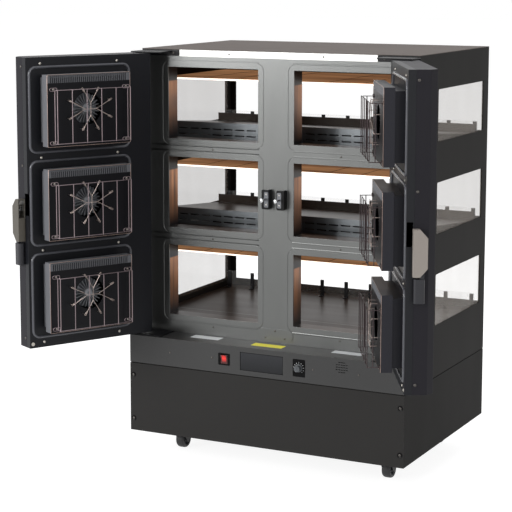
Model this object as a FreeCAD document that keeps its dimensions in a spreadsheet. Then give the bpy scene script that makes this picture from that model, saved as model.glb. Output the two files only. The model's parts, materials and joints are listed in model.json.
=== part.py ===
"""Heated display case on casters: two warming doors on the staff side, three open tiers on the customer side.

Lengths are millimetres and angles are degrees.  X runs across the case, Y from the staff side to the
customer side, Z up from the floor.  Pieces are drawn in case coordinates, where Y is zero on the front of
the base and the doors are shut; each node's placement then opens its door and moves the origin to the floor
under the middle of the whole object.
"""
import FreeCAD, Part
import math
import os
import Sketcher

os.makedirs("parts", exist_ok=True)
doc = FreeCAD.newDocument("HeatedDisplayCase")
sheet = doc.addObject("Spreadsheet::Sheet", "Sizes")
V = FreeCAD.Vector

# Driving dimensions
SIZES = {
    # Cabinet
    "case_width": 1000, "case_depth": 746, "case_height": 1386, "sheet_metal": 2,
    "underside": 89, "ledge_height": 422, "panel_drop": 98, "split_gap": 3, "frame_face": 100,
    # Staff side openings, one pair for each tier
    "tier_count": 3, "sill_rise": 62, "head_allowance": 1, "tier_wall": 61,
    "opening_inner": 65, "opening_margin": 99, "tunnel_depth": 60, "tunnel_wall": 1.5,
    "groove_margin": 21, "groove_radius": 28, "groove_width": 2, "groove_depth": 0.8,
    # Side windows
    "window_front": 262, "window_margin": 50, "window_rise": 15, "window_head": 71,
    "pane_thickness": 4, "pane_lap": 8, "window_radius": 6,
    # Inside the cabinet
    "column_width": 45, "column_wall": 6, "flute_pitch": 22, "flute_depth": 4, "lining_sheet": 1.5,
    "divider_half": 11, "divider_back": 240, "lining_gap": 0.5,
    "deck_drop": 15, "shelf_rise": 42, "shelf_front": 270, "shelf_margin": 114, "shelf_skin": 2,
    "shelf_fall": 11, "upstand": 30,
    "slot_length": 34, "slot_height": 4, "slot_pitch": 44, "slot_high": 12, "slot_low": 32,
    "canopy_drop": 47, "canopy_front": 262, "canopy_margin": 46, "canopy_skin": 2,
    "light_front": 268, "light_depth": 20, "light_height": 6, "light_end_gap": 12, "light_round": 2,
    "prong_width": 14, "prong_thickness": 3, "prong_height": 60, "prong_pitch": 95, "prong_foot": 16,
    "stop_height": 62, "stop_thickness": 4, "stop_margin": 56, "stop_end_gap": 14,
    "post_width": 22, "rear_sill": 10, "rear_drop": 55,
    # Top rail, hinge brackets and cover
    "rail_end": 144, "rail_height": 22, "rail_proud": 3,
    "bracket_plate": 4, "bracket_front": 22, "bracket_flange": 2.5, "bracket_drop": 21, "foot_half": 100,
    "foot_front": 6, "cover_half": 66, "cover_thickness": 1.5, "cover_rise": 8, "cover_height": 40,
    "cover_flat": 0.5,
    # Doors
    "door_low_gap": 11, "door_top_gap": 12, "door_outer": 8, "door_seam": 71, "door_inner": 94,
    "door_free": 37, "door_chamfer": 21, "door_skin": 2, "door_open": 118.25,
    "hinge_inset": 16, "hinge_setback": 40, "pin_radius": 5, "pin_length": 26, "bush_radius": 9,
    "running_fit": 0.05, "plate_gap": 2, "flange_round": 6, "bush_floor": 4, "strip_reach": 11,
    "notch_gap": 3,
    # Door seals
    "seal_margin": 20.5, "seal_radius": 28, "seal_width": 9, "seal_height": 5.5,
    # Fan modules on the doors
    "module_inner": 79, "module_margin": 19, "module_gap": 11, "module_step": 125, "module_face": 159,
    "module_skin": 1.5, "module_taper": 11, "grille_height": 23, "grille_drop": 3, "grille_inset": 11,
    "grille_slot": 3.4, "grille_pitch": 7, "fan_shift": 6.5, "fan_lift": 3, "fan_opening": 52,
    # Impellers, motors and heaters
    "impeller_radius": 48, "impeller_depth": 24, "impeller_back": 126, "hub_radius": 13,
    "blade_count": 24, "blade_thickness": 1.6, "blade_inner": 12, "blade_trim": 0.5, "disc_thickness": 2,
    "hub_set": 2, "motor_radius": 30, "motor_depth": 24, "shaft_radius": 4,
    "heater_radius": 68, "heater_tube": 3.5, "heater_level": 138, "heater_post": 4,
    # Fan guards
    "wire_radius": 2, "wire_step": 0.15, "guard_inner": 95, "guard_margin": 21, "guard_face": 197,
    "guard_low": 12.5, "guard_drop": 59, "guard_mid": 180, "guard_wires": 6, "eyelet_radius": 6,
    "eyelet_height": 3, "spider_level": 180, "spider_reach": 74, "spider_hub": 20, "spider_spread": 28,
    "spider_rise": 64,
    # Latches
    "latch_inner": 12, "latch_front": 34, "latch_back": 76, "latch_fall": 122, "latch_height": 138,
    "latch_nose_depth": 22, "latch_nose_height": 25, "pocket_side": 2.5, "pocket_front": 3,
    "pocket_top": 4, "pocket_height": 57, "catch_thickness": 4, "catch_level": 50, "catch_half": 8,
    "catch_height": 16, "catch_fall": 25, "stem_half": 2, "stem_length": 38,
    "guide_gap": 0.3, "lever_half": 11, "lever_front": 41, "lever_back": 73, "lever_length": 71,
    "lever_drop": 6, "lever_pivot": 15, "lever_centre": 50, "lug_half": 6, "lug_rise": 7,
    "pivot_radius": 3, "lever_slot_gap": 3, "lever_round": 8, "lug_round": 5, "catch_clearance": 0.75,
    # Strikers on the frame
    "striker_half": 14, "striker_front": 78, "striker_fall": 34, "striker_height": 65, "post_centre": 25,
    "post_radius": 4, "post_tip": 42, "head_radius": 6.5, "head_length": 5, "striker_shift": 2,
    "striker_round": 5,
    # Controls
    "control_drop": 48, "switch_centre": -139, "switch_half": 21, "switch_half_height": 20,
    "rocker_half": 13, "rocker_half_height": 16, "rocker_depth": 12, "rocker_tilt": 7, "bezel_proud": 2,
    "rocker_pivot": 5, "trunnion_radius": 1.5, "trunnion_reach": 1.5, "key_gap": 1, "key_proud": 2.5,
    "key_dish": 2.5, "key_taper": 6, "bezel_wall": 3, "bezel_round": 3, "bezel_depth": 12,
    "window_centre": -2, "display_half": 78, "display_half_height": 30.5, "display_lap": 5,
    "display_depth": 3, "dial_centre": 134, "dial_thickness": 1, "dial_half": 22, "dial_half_height": 29,
    "knob_radius": 11, "knob_length": 17, "knob_gap": 0.5, "knob_cap": 4, "knob_skirt": 3,
    "knob_flare": 2, "pointer_half": 1.2, "pointer_proud": 0.8, "spindle_radius": 3, "spindle_gap": 0.6,
    "sensor_half": 9, "sensor_depth": 12,
    "sounder_centre": 285, "sounder_drop": 31, "sounder_count": 5, "sounder_slot": 6,
    "sounder_pitch": 8.6, "sounder_row": 8, "sounder_height": 2.4,
    # Casters
    "caster_inset": 115, "caster_front": 140, "caster_margin": 146, "caster_plate": 4,
    "caster_plate_half": 36, "race_radius": 22, "race_height": 5, "crown_thickness": 6,
    "crown_radius": 25, "kingpin_radius": 6, "swivel_gap": 0.5, "caster_trail": 24, "pin_head": 2,
    "cheek_gap": 2, "cheek_thickness": 3, "cheek_half": 14, "cheek_front": 8.4, "cheek_rise": 5.6,
    "cheek_low": 9.8, "cheek_toe": 2.8, "cheek_heel": 7, "axle_radius": 5,
    "wheel_radius": 30, "wheel_half": 15, "tyre_round": 4, "hub_recess": 3, "dish_radius": 18,
    "rim_radius": 20.4,
    # Fasteners
    "screw_head": 4.5, "screw_height": 2.4, "small_screw": 3.2, "small_height": 1.8,
    "screw_drop": 31, "edge_screw": 13, "panel_screw_rise": 42, "panel_screw_drop": 41,
    "fascia_screw_inset": 156, "fascia_screw_near": 184, "rail_screw": 170, "bracket_screw": 24,
    "cover_screw": 35, "cover_screw_low": 10, "cover_screw_high": 33, "pan_screw_drop": 33.5,
    "pan_screw_inner": 89, "pan_screw_margin": 29.5, "edge_screw_along": 63, "edge_screw_low": 30,
    "edge_screw_middle": 594, "magnet_across": 47, "magnet_rise": 14, "magnet_radius": 6,
    # Electrics in the base
    "box_inset": 60, "box_width": 300, "box_front": 230, "box_depth": 240, "box_clearance": 55,
    "gland_radius": 14, "gland_neck": 10, "gland_length": 16, "gland_inset": 40, "cable_radius": 5,
}


class Size:
    """A length from the sheet, or worked out from it: its present number and the formula that binds it."""

    def __init__(self, value, formula):
        self.value = float(value)
        self.formula = formula

    @staticmethod
    def of(thing):
        return thing if isinstance(thing, Size) else Size(thing, repr(float(thing)))

    def joined(self, sign, other, value):
        return Size(value, f"({self.formula} {sign} {other.formula})")

    def __add__(self, other):
        other = Size.of(other)
        return self.joined("+", other, self.value + other.value)

    def __sub__(self, other):
        other = Size.of(other)
        return self.joined("-", other, self.value - other.value)

    def __mul__(self, other):
        other = Size.of(other)
        return self.joined("*", other, self.value * other.value)

    def __truediv__(self, other):
        other = Size.of(other)
        return self.joined("/", other, self.value / other.value)

    def __neg__(self):
        return Size(-self.value, f"(0 - {self.formula})")

    def __radd__(self, other):
        return Size.of(other) + self

    def __rsub__(self, other):
        return Size.of(other) - self

    def __rmul__(self, other):
        return Size.of(other) * self


def sine(angle):
    return Size(math.sin(math.radians(angle.value)), f"sin({angle.formula} * 1 deg)")


def cosine(angle):
    return Size(math.cos(math.radians(angle.value)), f"cos({angle.formula} * 1 deg)")


class Sheet:
    """Read a named size as an attribute."""

    def __getattr__(self, name):
        return Size(float(sheet.get(name)), f"Sizes.{name}")


for row, (name, value) in enumerate(SIZES.items(), start=1):
    sheet.set(f"A{row}", name)
    sheet.set(f"B{row}", str(value))
    sheet.setAlias(f"B{row}", name)
doc.recompute()
S = Sheet()

# Values that follow from the driving dimensions
HALF = S.case_width / 2
SKIN = S.sheet_metal
FIRST_SILL = S.ledge_height + S.sill_rise
TIER_PITCH = (S.case_height + S.head_allowance - FIRST_SILL) / S.tier_count
TIERS = int(S.tier_count.value)
SILLS = [FIRST_SILL + TIER_PITCH * index for index in range(TIERS)]
OPENING_HEIGHT = TIER_PITCH - S.tier_wall
OPENING_OUTER = HALF - S.opening_margin
PANEL_SPLIT = S.ledge_height - S.panel_drop
CONTROL_LEVEL = S.ledge_height - S.control_drop
POST_LEVEL = SILLS[TIERS // 2] + OPENING_HEIGHT / 2
MODULE_OUTER = OPENING_OUTER - S.module_margin
MODULE_HALF = (OPENING_HEIGHT - S.module_gap) / 2
HINGE_ACROSS = HALF - S.hinge_inset
DOOR_LOW = S.ledge_height + S.door_low_gap
DOOR_HIGH = S.case_height - S.door_top_gap
OPENING_MIDDLE = (S.opening_inner + OPENING_OUTER) / 2
FAN_ACROSS = (S.module_inner + MODULE_OUTER) / 2 - S.fan_shift
LATCH_REACH = (HINGE_ACROSS - S.latch_inner) * sine(S.door_open)
LATCH_BACK = (S.latch_back - S.hinge_setback) * cosine(S.door_open)
FOREMOST = S.hinge_setback - LATCH_REACH + LATCH_BACK
ORIGIN_BACK = (FOREMOST + S.case_depth) / 2
BEVEL_SHARE = 2 - math.sqrt(2)
AXES = {
    "x": FreeCAD.Rotation(V(0, 1, 0), 90), "y": FreeCAD.Rotation(V(1, 0, 0), -90), "z": FreeCAD.Rotation(),
}
SIDES = {"left": -1, "right": 1}
nodes = []


def bind(item, path, size):
    item.setExpression(path, Size.of(size).formula)


def bind_base(item, point):
    for letter, size in zip("xyz", point):
        bind(item, f"Placement.Base.{letter}", size)


def box(across, along, up):
    """A block between the low and high value of each direction."""
    item = doc.addObject("Part::Box", "Block")
    for path, (low, high) in zip(("Length", "Width", "Height"), (across, along, up)):
        bind(item, path, Size.of(high) - low)
    bind_base(item, (across[0], along[0], up[0]))
    return item


def rod(start, axis, length, radius):
    """A round bar that starts at a point and runs along one axis."""
    item = doc.addObject("Part::Cylinder", "Bar")
    item.Placement = FreeCAD.Placement(V(0, 0, 0), AXES[axis])
    bind(item, "Height", length)
    bind(item, "Radius", radius)
    bind_base(item, start)
    return item


def strut(start, end, width):
    """A square bar between two points at one depth, set at the angle that joins them."""
    low = V(*[Size.of(size).value for size in start])
    high = V(*[Size.of(size).value for size in end])
    item = doc.addObject("Part::Box", "Strut")
    item.Length = (high - low).Length
    bind(item, "Width", width)
    bind(item, "Height", width)
    half = Size.of(width).value / 2
    turn = FreeCAD.Rotation(V(0, 1, 0), -math.degrees(math.atan2(high.z - low.z, high.x - low.x)))
    item.Placement = FreeCAD.Placement(low - turn.multVec(V(0, half, half)), turn)
    return item


def group(items):
    item = doc.addObject("Part::Compound", "Group")
    item.Links = items
    return item


def fuse(items):
    item = doc.addObject("Part::MultiFuse", "Joined")
    item.Shapes = items
    return item


def cut(base, tools):
    item = doc.addObject("Part::Cut", "Cut")
    item.Base = base
    item.Tool = tools[0] if len(tools) == 1 else group(tools)
    return item


def rounded(base, axis, radius, kind="Part::Fillet"):
    """Round or bevel every edge of a block that runs along one axis."""
    doc.recompute()
    along = {"x": V(1, 0, 0), "y": V(0, 1, 0), "z": V(0, 0, 1)}[axis]
    item = doc.addObject(kind, "Edged")
    item.Base = base
    reach = Size.of(radius).value
    chosen = []
    for index, edge in enumerate(base.Shape.Edges, start=1):
        way = edge.Vertexes[-1].Point - edge.Vertexes[0].Point
        if way.Length > 0 and abs(way.normalize().dot(along)) > 0.999:
            chosen.append((index, reach, reach))
    item.Edges = chosen
    return item


def across(side, low, high):
    """The X span of a door piece that is measured outwards from the middle of the case."""
    return (low, high) if SIDES[side] > 0 else (-high, -low)


def out(side, distance):
    return distance if SIDES[side] > 0 else -distance


def span(centre, half):
    return (centre - half, centre + half)


def draw(sketch, points):
    """A closed outline of straight lines, each corner held by its two distances from the sketch's origin."""
    count = len(points)
    places = [V(Size.of(a).value, Size.of(b).value, 0) for a, b in points]
    for index in range(count):
        sketch.addGeometry(Part.LineSegment(places[index], places[(index + 1) % count]))
    for index in range(count):
        sketch.addConstraint(Sketcher.Constraint("Coincident", index, 2, (index + 1) % count, 1))
    for index, point in enumerate(points):
        for kind, size in zip(("DistanceX", "DistanceY"), point):
            size = Size.of(size)
            number = sketch.addConstraint(Sketcher.Constraint(kind, -1, 1, index, 1, size.value))
            bind(sketch, f"Constraints[{number}]", size)


def prism(label, points, start, length, plane_role="YZ_Plane"):
    """A body padded from a closed outline: along X from Y and Z pairs, or along Z from X and Y pairs."""
    body = doc.addObject("PartDesign::Body", label)
    sketch = body.newObject("Sketcher::SketchObject", label + "_outline")
    plane = [f for f in body.Origin.OriginFeatures if f.Role == plane_role][0]
    sketch.AttachmentSupport = [(plane, "")]
    sketch.MapMode = "FlatFace"
    bind(sketch, "AttachmentOffset.Base.z", start)
    draw(sketch, points)
    pad = body.newObject("PartDesign::Pad", label + "_pad")
    pad.Profile = sketch
    bind(pad, "Length", length)
    body.Tip = pad
    return body


def turned(label, points):
    """A body revolved about Z from a closed outline given as radius and height pairs."""
    body = doc.addObject("PartDesign::Body", label)
    sketch = body.newObject("Sketcher::SketchObject", label + "_outline")
    plane = [f for f in body.Origin.OriginFeatures if f.Role == "XZ_Plane"][0]
    upright = [f for f in body.Origin.OriginFeatures if f.Role == "Z_Axis"][0]
    sketch.AttachmentSupport = [(plane, "")]
    sketch.MapMode = "FlatFace"
    draw(sketch, points)
    revolution = body.newObject("PartDesign::Revolution", label + "_turning")
    revolution.Profile = sketch
    revolution.ReferenceAxis = (upright, [""])
    revolution.Angle = 360
    body.Tip = revolution
    return body


def node(label, item, side=None):
    """Name a finished sub-part, open its door and move it to the origin of the object."""
    item = group([item])
    item.Label = label
    if side is None:
        bind_base(item, (0, -ORIGIN_BACK, 0))
    else:
        turn = SIDES[side] * S.door_open
        hinge = out(side, HINGE_ACROSS)
        bind(item, "Placement.Rotation.Angle", turn)
        left_by = hinge - hinge * cosine(turn) + S.hinge_setback * sine(turn)
        back_by = S.hinge_setback - hinge * sine(turn) - S.hinge_setback * cosine(turn)
        bind_base(item, (left_by, back_by - ORIGIN_BACK, 0))
    nodes.append(item)
    return item


def placed(item, point):
    """A copy of a piece, moved from where it was drawn."""
    copy = group([item])
    bind_base(copy, point)
    return copy


def screws(points, axis, proud=1, small=False):
    """Low round screw heads that stand on a face; proud is the way that they stand out along the axis."""
    radius = S.small_screw if small else S.screw_head
    height = S.small_height if small else S.screw_height
    heads = []
    for point in points:
        start = [Size.of(value) for value in point]
        if proud < 0:
            index = "xyz".index(axis)
            start[index] = start[index] - height
        heads.append(rod(start, axis, height, radius))
    return heads


def ring(across_span, along_span, up_span, radius, width):
    """A flat frame with rounded corners that lies square to Y."""
    outer = rounded(box(across_span, along_span, up_span), "y", radius)
    inside = [(Size.of(low) + width, Size.of(high) - width) for low, high in (across_span, up_span)]
    past = (Size.of(along_span[0]) - 1, Size.of(along_span[1]) + 1)
    inner = rounded(box(inside[0], past, inside[1]), "y", Size.of(radius) - width)
    return cut(outer, [inner])


# Base tray: one bent sheet, open at the front, with a strip round its top that the upper panels stand over
INNER = HALF - SKIN
BACK = S.case_depth - SKIN
LOWER_TOP = PANEL_SPLIT + S.split_gap
tray = cut(
    box((-HALF, HALF), (SKIN, S.case_depth), (S.underside, PANEL_SPLIT)),
    [box((-INNER, INNER), (0, BACK), (S.underside + SKIN, PANEL_SPLIT + 1))],
)
strip = cut(
    box((-INNER, INNER), (SKIN, BACK), (PANEL_SPLIT - S.strip_reach, LOWER_TOP + S.strip_reach)),
    [box((SKIN - INNER, INNER - SKIN), (SKIN * 2, BACK - SKIN), (S.underside, S.ledge_height))],
)
BOX_LEFT = S.box_inset - HALF
BOX_RIGHT = BOX_LEFT + S.box_width
BOX_BACK = S.box_front + S.box_depth
GLAND_ACROSS = BOX_RIGHT - S.gland_inset
GLAND_BACK = BOX_BACK - S.gland_inset
gland_hole = rod((GLAND_ACROSS, GLAND_BACK, S.underside - 1), "z", SKIN + 2, S.gland_neck)
node("base_tray", cut(fuse([tray, strip]), [gland_hole]))

# Lower front panel: a flat door over the electrics, held by four screws
node("lower_front_panel", box((-HALF, HALF), (0, SKIN), (S.underside, PANEL_SPLIT)))

# Control fascia: a sheet folded back at its top into the ledge under the doors, pierced for the controls
fascia = fuse([
    box((-HALF, HALF), (0, SKIN), (LOWER_TOP, S.ledge_height)),
    box((-HALF, HALF), (0, S.frame_face), (S.ledge_height - SKIN, S.ledge_height)),
])
THROUGH = (-1, SKIN + 1)


def level_span(half):
    return (CONTROL_LEVEL - half, CONTROL_LEVEL + half)


SOUNDER_LEVEL = S.ledge_height - S.sounder_drop
reach = int(S.sounder_count.value) // 2
sounder_slots = [
    box(span(S.sounder_centre + column * S.sounder_pitch, S.sounder_slot / 2), THROUGH,
        (SOUNDER_LEVEL + row * S.sounder_row, SOUNDER_LEVEL + row * S.sounder_row + S.sounder_height))
    for column in range(-reach, reach + 1) for row in range(-reach, reach + 1)
    if abs(column) + abs(row) < reach * 2
]
control_holes = [
    box(span(S.switch_centre, S.rocker_half + S.bezel_wall), THROUGH,
        level_span(S.rocker_half_height + S.bezel_wall)),
    box(span(S.window_centre, S.display_half), THROUGH, level_span(S.display_half_height)),
    rod((S.dial_centre, -1, CONTROL_LEVEL), "y", SKIN + 2, S.spindle_radius + S.spindle_gap),
]
node("control_fascia", cut(fascia, control_holes + sounder_slots))

# Front frame: a face sheet with a folded sleeve through each opening and a shallow groove for each seal
FRAME_BACK = S.frame_face + S.tunnel_depth
face = box((-INNER, INNER), (S.frame_face, S.frame_face + SKIN), (S.ledge_height, S.case_height - SKIN))
sleeves = []
openings = []
grooves = []
for sill in SILLS:
    for side in SIDES:
        wide = across(side, S.opening_inner, OPENING_OUTER)
        high = (sill, sill + OPENING_HEIGHT)
        sleeves.append(box((wide[0] - S.tunnel_wall, wide[1] + S.tunnel_wall), (S.frame_face, FRAME_BACK),
                           (high[0] - S.tunnel_wall, high[1] + S.tunnel_wall)))
        openings.append(box(wide, (S.frame_face - 1, FRAME_BACK + SKIN + 1), high))
        grooves.append(ring((wide[0] - S.groove_margin, wide[1] + S.groove_margin),
                            (S.frame_face - 1, S.frame_face + S.groove_depth),
                            (high[0] - S.groove_margin, high[1] + S.groove_margin),
                            S.groove_radius, S.groove_width))
node("front_frame", cut(fuse([face] + sleeves), openings + grooves))

# Inner lining: a sheet behind the frame, a fluted hollow air column at each side, and a post between
LINING_BACK = FRAME_BACK + S.lining_sheet
PANE_FRONT = S.window_front - S.pane_lap
COLUMN_BACK = PANE_FRONT - S.lining_gap
COLUMN_INNER = HALF - S.column_width
lining = cut(box((-INNER, INNER), (FRAME_BACK, LINING_BACK), (S.ledge_height, S.case_height - SKIN)),
             openings)
COLUMN_LOW = SILLS[0] - S.deck_drop
column_high = (COLUMN_LOW, S.case_height - SKIN)
column_blocks = []
columns = []
for side in SIDES:
    wide = across(side, COLUMN_INNER, INNER)
    column_blocks.append(box(wide, (LINING_BACK, COLUMN_BACK), (S.ledge_height, S.case_height)))
    hollow = box(across(side, COLUMN_INNER + S.column_wall, INNER + 1),
                 (LINING_BACK + S.column_wall, COLUMN_BACK - S.column_wall),
                 (S.ledge_height, S.case_height))
    flutes = [
        box(across(side, COLUMN_INNER - 1, COLUMN_INNER + S.flute_depth),
            (LINING_BACK + S.flute_pitch * (index + 0.5), LINING_BACK + S.flute_pitch * (index + 1)),
            (S.ledge_height, S.case_height))
        for index in range(int((COLUMN_BACK - LINING_BACK).value / S.flute_pitch.value))
    ]
    columns.append(cut(box(wide, (LINING_BACK, COLUMN_BACK), column_high), [hollow] + flutes))
divider = box((-S.divider_half, S.divider_half), (LINING_BACK, S.divider_back), column_high)
divider_block = box((-S.divider_half, S.divider_half), (LINING_BACK, S.divider_back),
                    (S.ledge_height, S.case_height))
node("inner_lining", group([lining, divider] + columns))

# Cabinet sides: one sheet each, low beside the ledge and full height behind the doors, with three windows
WINDOW_BACK = S.case_depth - S.window_margin
sides = []
panes = []
for side in SIDES:
    wide = across(side, INNER, HALF)
    low = box(wide, (SKIN, BACK), (LOWER_TOP, S.ledge_height - SKIN))
    high = box(wide, (S.frame_face, BACK), (LOWER_TOP, S.case_height - SKIN))
    windows = []
    for sill in SILLS:
        low_edge = sill + S.window_rise
        high_edge = low_edge + OPENING_HEIGHT - S.window_head
        block = box(across(side, INNER - 1, HALF + 1), (S.window_front, WINDOW_BACK), (low_edge, high_edge))
        windows.append(rounded(block, "x", S.window_radius))
        panes.append(box(across(side, INNER - S.pane_thickness, INNER),
                         (PANE_FRONT, WINDOW_BACK + S.pane_lap),
                         (low_edge - S.pane_lap, high_edge + S.pane_lap)))
    sides.append(cut(fuse([low, high]), windows))
node("cabinet_sides", group(sides))

# Side glass: a clear pane behind each window
node("side_glass", group(panes))

# Rear frame: the customer side sheet, open at each tier over almost the whole width
rear_openings = [
    box((S.post_width - HALF, HALF - S.post_width), (BACK - 1, S.case_depth + 1),
        (sill + S.rear_sill, sill + OPENING_HEIGHT - S.rear_drop))
    for sill in SILLS
]
node("rear_frame", cut(box((-HALF, HALF), (BACK, S.case_depth), (LOWER_TOP, S.case_height - SKIN)),
                       rear_openings))

# Top panel: a plain sheet that closes the case
RAIL_FRONT = S.frame_face - S.rail_proud
RAIL_HALF = HALF - S.rail_end
COVER_BASE = S.ledge_height + S.cover_rise
TOP_LOW = S.case_height - SKIN
node("top_panel", box((-HALF, HALF), (RAIL_FRONT, S.case_depth), (TOP_LOW, S.case_height)))

# Trim plates: the bright rail over the doors and the obround blanking plate at the foot of the mullion
cover = rounded(box((-S.cover_half, S.cover_half), (S.frame_face - S.cover_thickness, S.frame_face),
                    (COVER_BASE, COVER_BASE + S.cover_height)), "y", S.cover_height / 2 - S.cover_flat)
rail = box((-RAIL_HALF, RAIL_HALF), (RAIL_FRONT, S.frame_face), (TOP_LOW - S.rail_height, TOP_LOW))
node("trim_plates", group([cover, rail]))

# Hinge brackets: a plate and a flange above each door, and a foot below it, each with its own pin
brackets = []
PLATE_LOW = DOOR_HIGH + S.plate_gap
FOOT_TOP = S.ledge_height + S.bracket_plate
for side in SIDES:
    hinge = out(side, HINGE_ACROSS)
    wide = across(side, HINGE_ACROSS - S.foot_half, HALF)
    flange = rounded(box(across(side, RAIL_HALF, HALF),
                         (S.frame_face - S.bracket_flange, S.frame_face),
                         (TOP_LOW - S.bracket_drop, TOP_LOW)), "y", S.flange_round)
    brackets.append(fuse([
        flange,
        box(wide, (S.bracket_front, S.frame_face), (PLATE_LOW, PLATE_LOW + S.bracket_plate)),
        rod((hinge, S.hinge_setback, DOOR_HIGH - S.pin_length), "z", S.pin_length + S.plate_gap + 1,
            S.pin_radius),
    ]))
    brackets.append(fuse([
        box(wide, (S.foot_front, S.frame_face), (S.ledge_height, FOOT_TOP)),
        rod((hinge, S.hinge_setback, FOOT_TOP - 1), "z", DOOR_LOW - FOOT_TOP - S.guide_gap + 1,
            S.bush_radius),
        rod((hinge, S.hinge_setback, FOOT_TOP - 1), "z", DOOR_LOW - FOOT_TOP + S.pin_length + 1,
            S.pin_radius),
    ]))
node("hinge_brackets", group(brackets))

# Strikers: a block for each door on the mullion, with a ball ended post that the latch catches
STRIKER_LOW = POST_LEVEL - S.striker_fall
STRIKER_HIGH = STRIKER_LOW + S.striker_height
STRIKER_OUTER = S.post_centre + S.striker_shift + S.striker_half
blocks = []
posts = []
for side in SIDES:
    post = out(side, S.post_centre)
    block = box(across(side, STRIKER_OUTER - S.striker_half * 2, STRIKER_OUTER),
                (S.striker_front, S.frame_face), (STRIKER_LOW, STRIKER_HIGH))
    well = rod((post, S.striker_front - 1, POST_LEVEL), "y", S.frame_face - S.striker_front + 2,
               S.post_radius)
    blocks.append(cut(rounded(block, "y", S.striker_round), [well]))
    posts.append(fuse([
        rod((post, S.post_tip, POST_LEVEL), "y", S.frame_face - S.post_tip, S.post_radius),
        rod((post, S.post_tip, POST_LEVEL), "y", S.head_length, S.head_radius),
    ]))
node("strikers", group(blocks))
node("striker_posts", group(posts))

# Control plates: the switch bezel, the display window, the dial plate and the spindle with its sensor
TRUNNION_END = S.rocker_half + S.guide_gap + S.trunnion_reach
bezel = cut(
    fuse([
        rounded(box(span(S.switch_centre, S.switch_half), (-S.bezel_proud, 0),
                    level_span(S.switch_half_height)), "y", S.bezel_round),
        box(span(S.switch_centre, S.rocker_half + S.bezel_wall), (-1, S.bezel_depth),
            level_span(S.rocker_half_height + S.bezel_wall)),
    ]),
    [box(span(S.switch_centre, S.rocker_half + S.guide_gap), (-S.bezel_proud - 1, S.bezel_depth + 1),
         level_span(S.rocker_half_height + S.guide_gap)),
     rod((S.switch_centre - TRUNNION_END - S.guide_gap, S.rocker_pivot, CONTROL_LEVEL), "x",
         (TRUNNION_END + S.guide_gap) * 2, S.trunnion_radius + S.running_fit)],
)
display = box(span(S.window_centre, S.display_half + S.display_lap), (SKIN, SKIN + S.display_depth),
              level_span(S.display_half_height + S.display_lap))
dial_plate = cut(
    rounded(box(span(S.dial_centre, S.dial_half), (-S.dial_thickness, 0),
                level_span(S.dial_half_height)), "y", S.bezel_round),
    [rod((S.dial_centre, -S.dial_thickness - 1, CONTROL_LEVEL), "y", S.dial_thickness + 2,
         S.spindle_radius + S.spindle_gap)],
)
KNOB_BACK = -S.dial_thickness - S.knob_gap
spindle = fuse([
    rod((S.dial_centre, KNOB_BACK - S.knob_length + S.knob_cap, CONTROL_LEVEL), "y",
        SKIN + S.knob_length - S.knob_cap - KNOB_BACK, S.spindle_radius),
    box(span(S.dial_centre, S.sensor_half), (SKIN, SKIN + S.sensor_depth), level_span(S.sensor_half)),
])
node("control_plates", group([bezel, display, dial_plate, spindle]))

# Rocker switch: a lit key that tips on its two level trunnions between its two positions
PIVOT_BACK = S.rocker_pivot


def tipped(along, up):
    """Where a point of the level key comes to when the key is tipped."""
    turn = S.rocker_tilt
    return (PIVOT_BACK + (along - PIVOT_BACK) * cosine(turn) - up * sine(turn),
            CONTROL_LEVEL + (along - PIVOT_BACK) * sine(turn) + up * cosine(turn))


KEY_HALF = S.rocker_half_height - S.key_gap
key_outline = [
    tipped(-S.key_proud, -KEY_HALF), tipped(S.key_dish - S.key_proud, 0), tipped(-S.key_proud, KEY_HALF),
    tipped(S.rocker_depth, KEY_HALF - S.key_taper), tipped(S.rocker_depth, S.key_taper - KEY_HALF),
]
key = prism("rocker_key", key_outline, S.switch_centre - S.rocker_half, S.rocker_half * 2)
trunnion = rod((S.switch_centre - TRUNNION_END, PIVOT_BACK, CONTROL_LEVEL), "x", TRUNNION_END * 2,
               S.trunnion_radius)
node("rocker_switch", fuse([key, trunnion]))

# Control knob: a turned cap on the spindle, with a pointer rib
knob = cut(
    fuse([
        rod((S.dial_centre, KNOB_BACK - S.knob_length, CONTROL_LEVEL), "y", S.knob_length, S.knob_radius),
        rod((S.dial_centre, KNOB_BACK - S.knob_skirt, CONTROL_LEVEL), "y", S.knob_skirt,
            S.knob_radius + S.knob_flare),
        box(span(S.dial_centre, S.pointer_half),
            (KNOB_BACK - S.knob_length - S.pointer_proud, KNOB_BACK - 1),
            (CONTROL_LEVEL, CONTROL_LEVEL + S.knob_radius)),
    ]),
    [rod((S.dial_centre, KNOB_BACK - S.knob_length + S.knob_cap - S.running_fit, CONTROL_LEVEL), "y",
         S.knob_length - S.knob_cap + 1, S.spindle_radius + S.running_fit)],
)
node("control_knob", knob)

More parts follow.
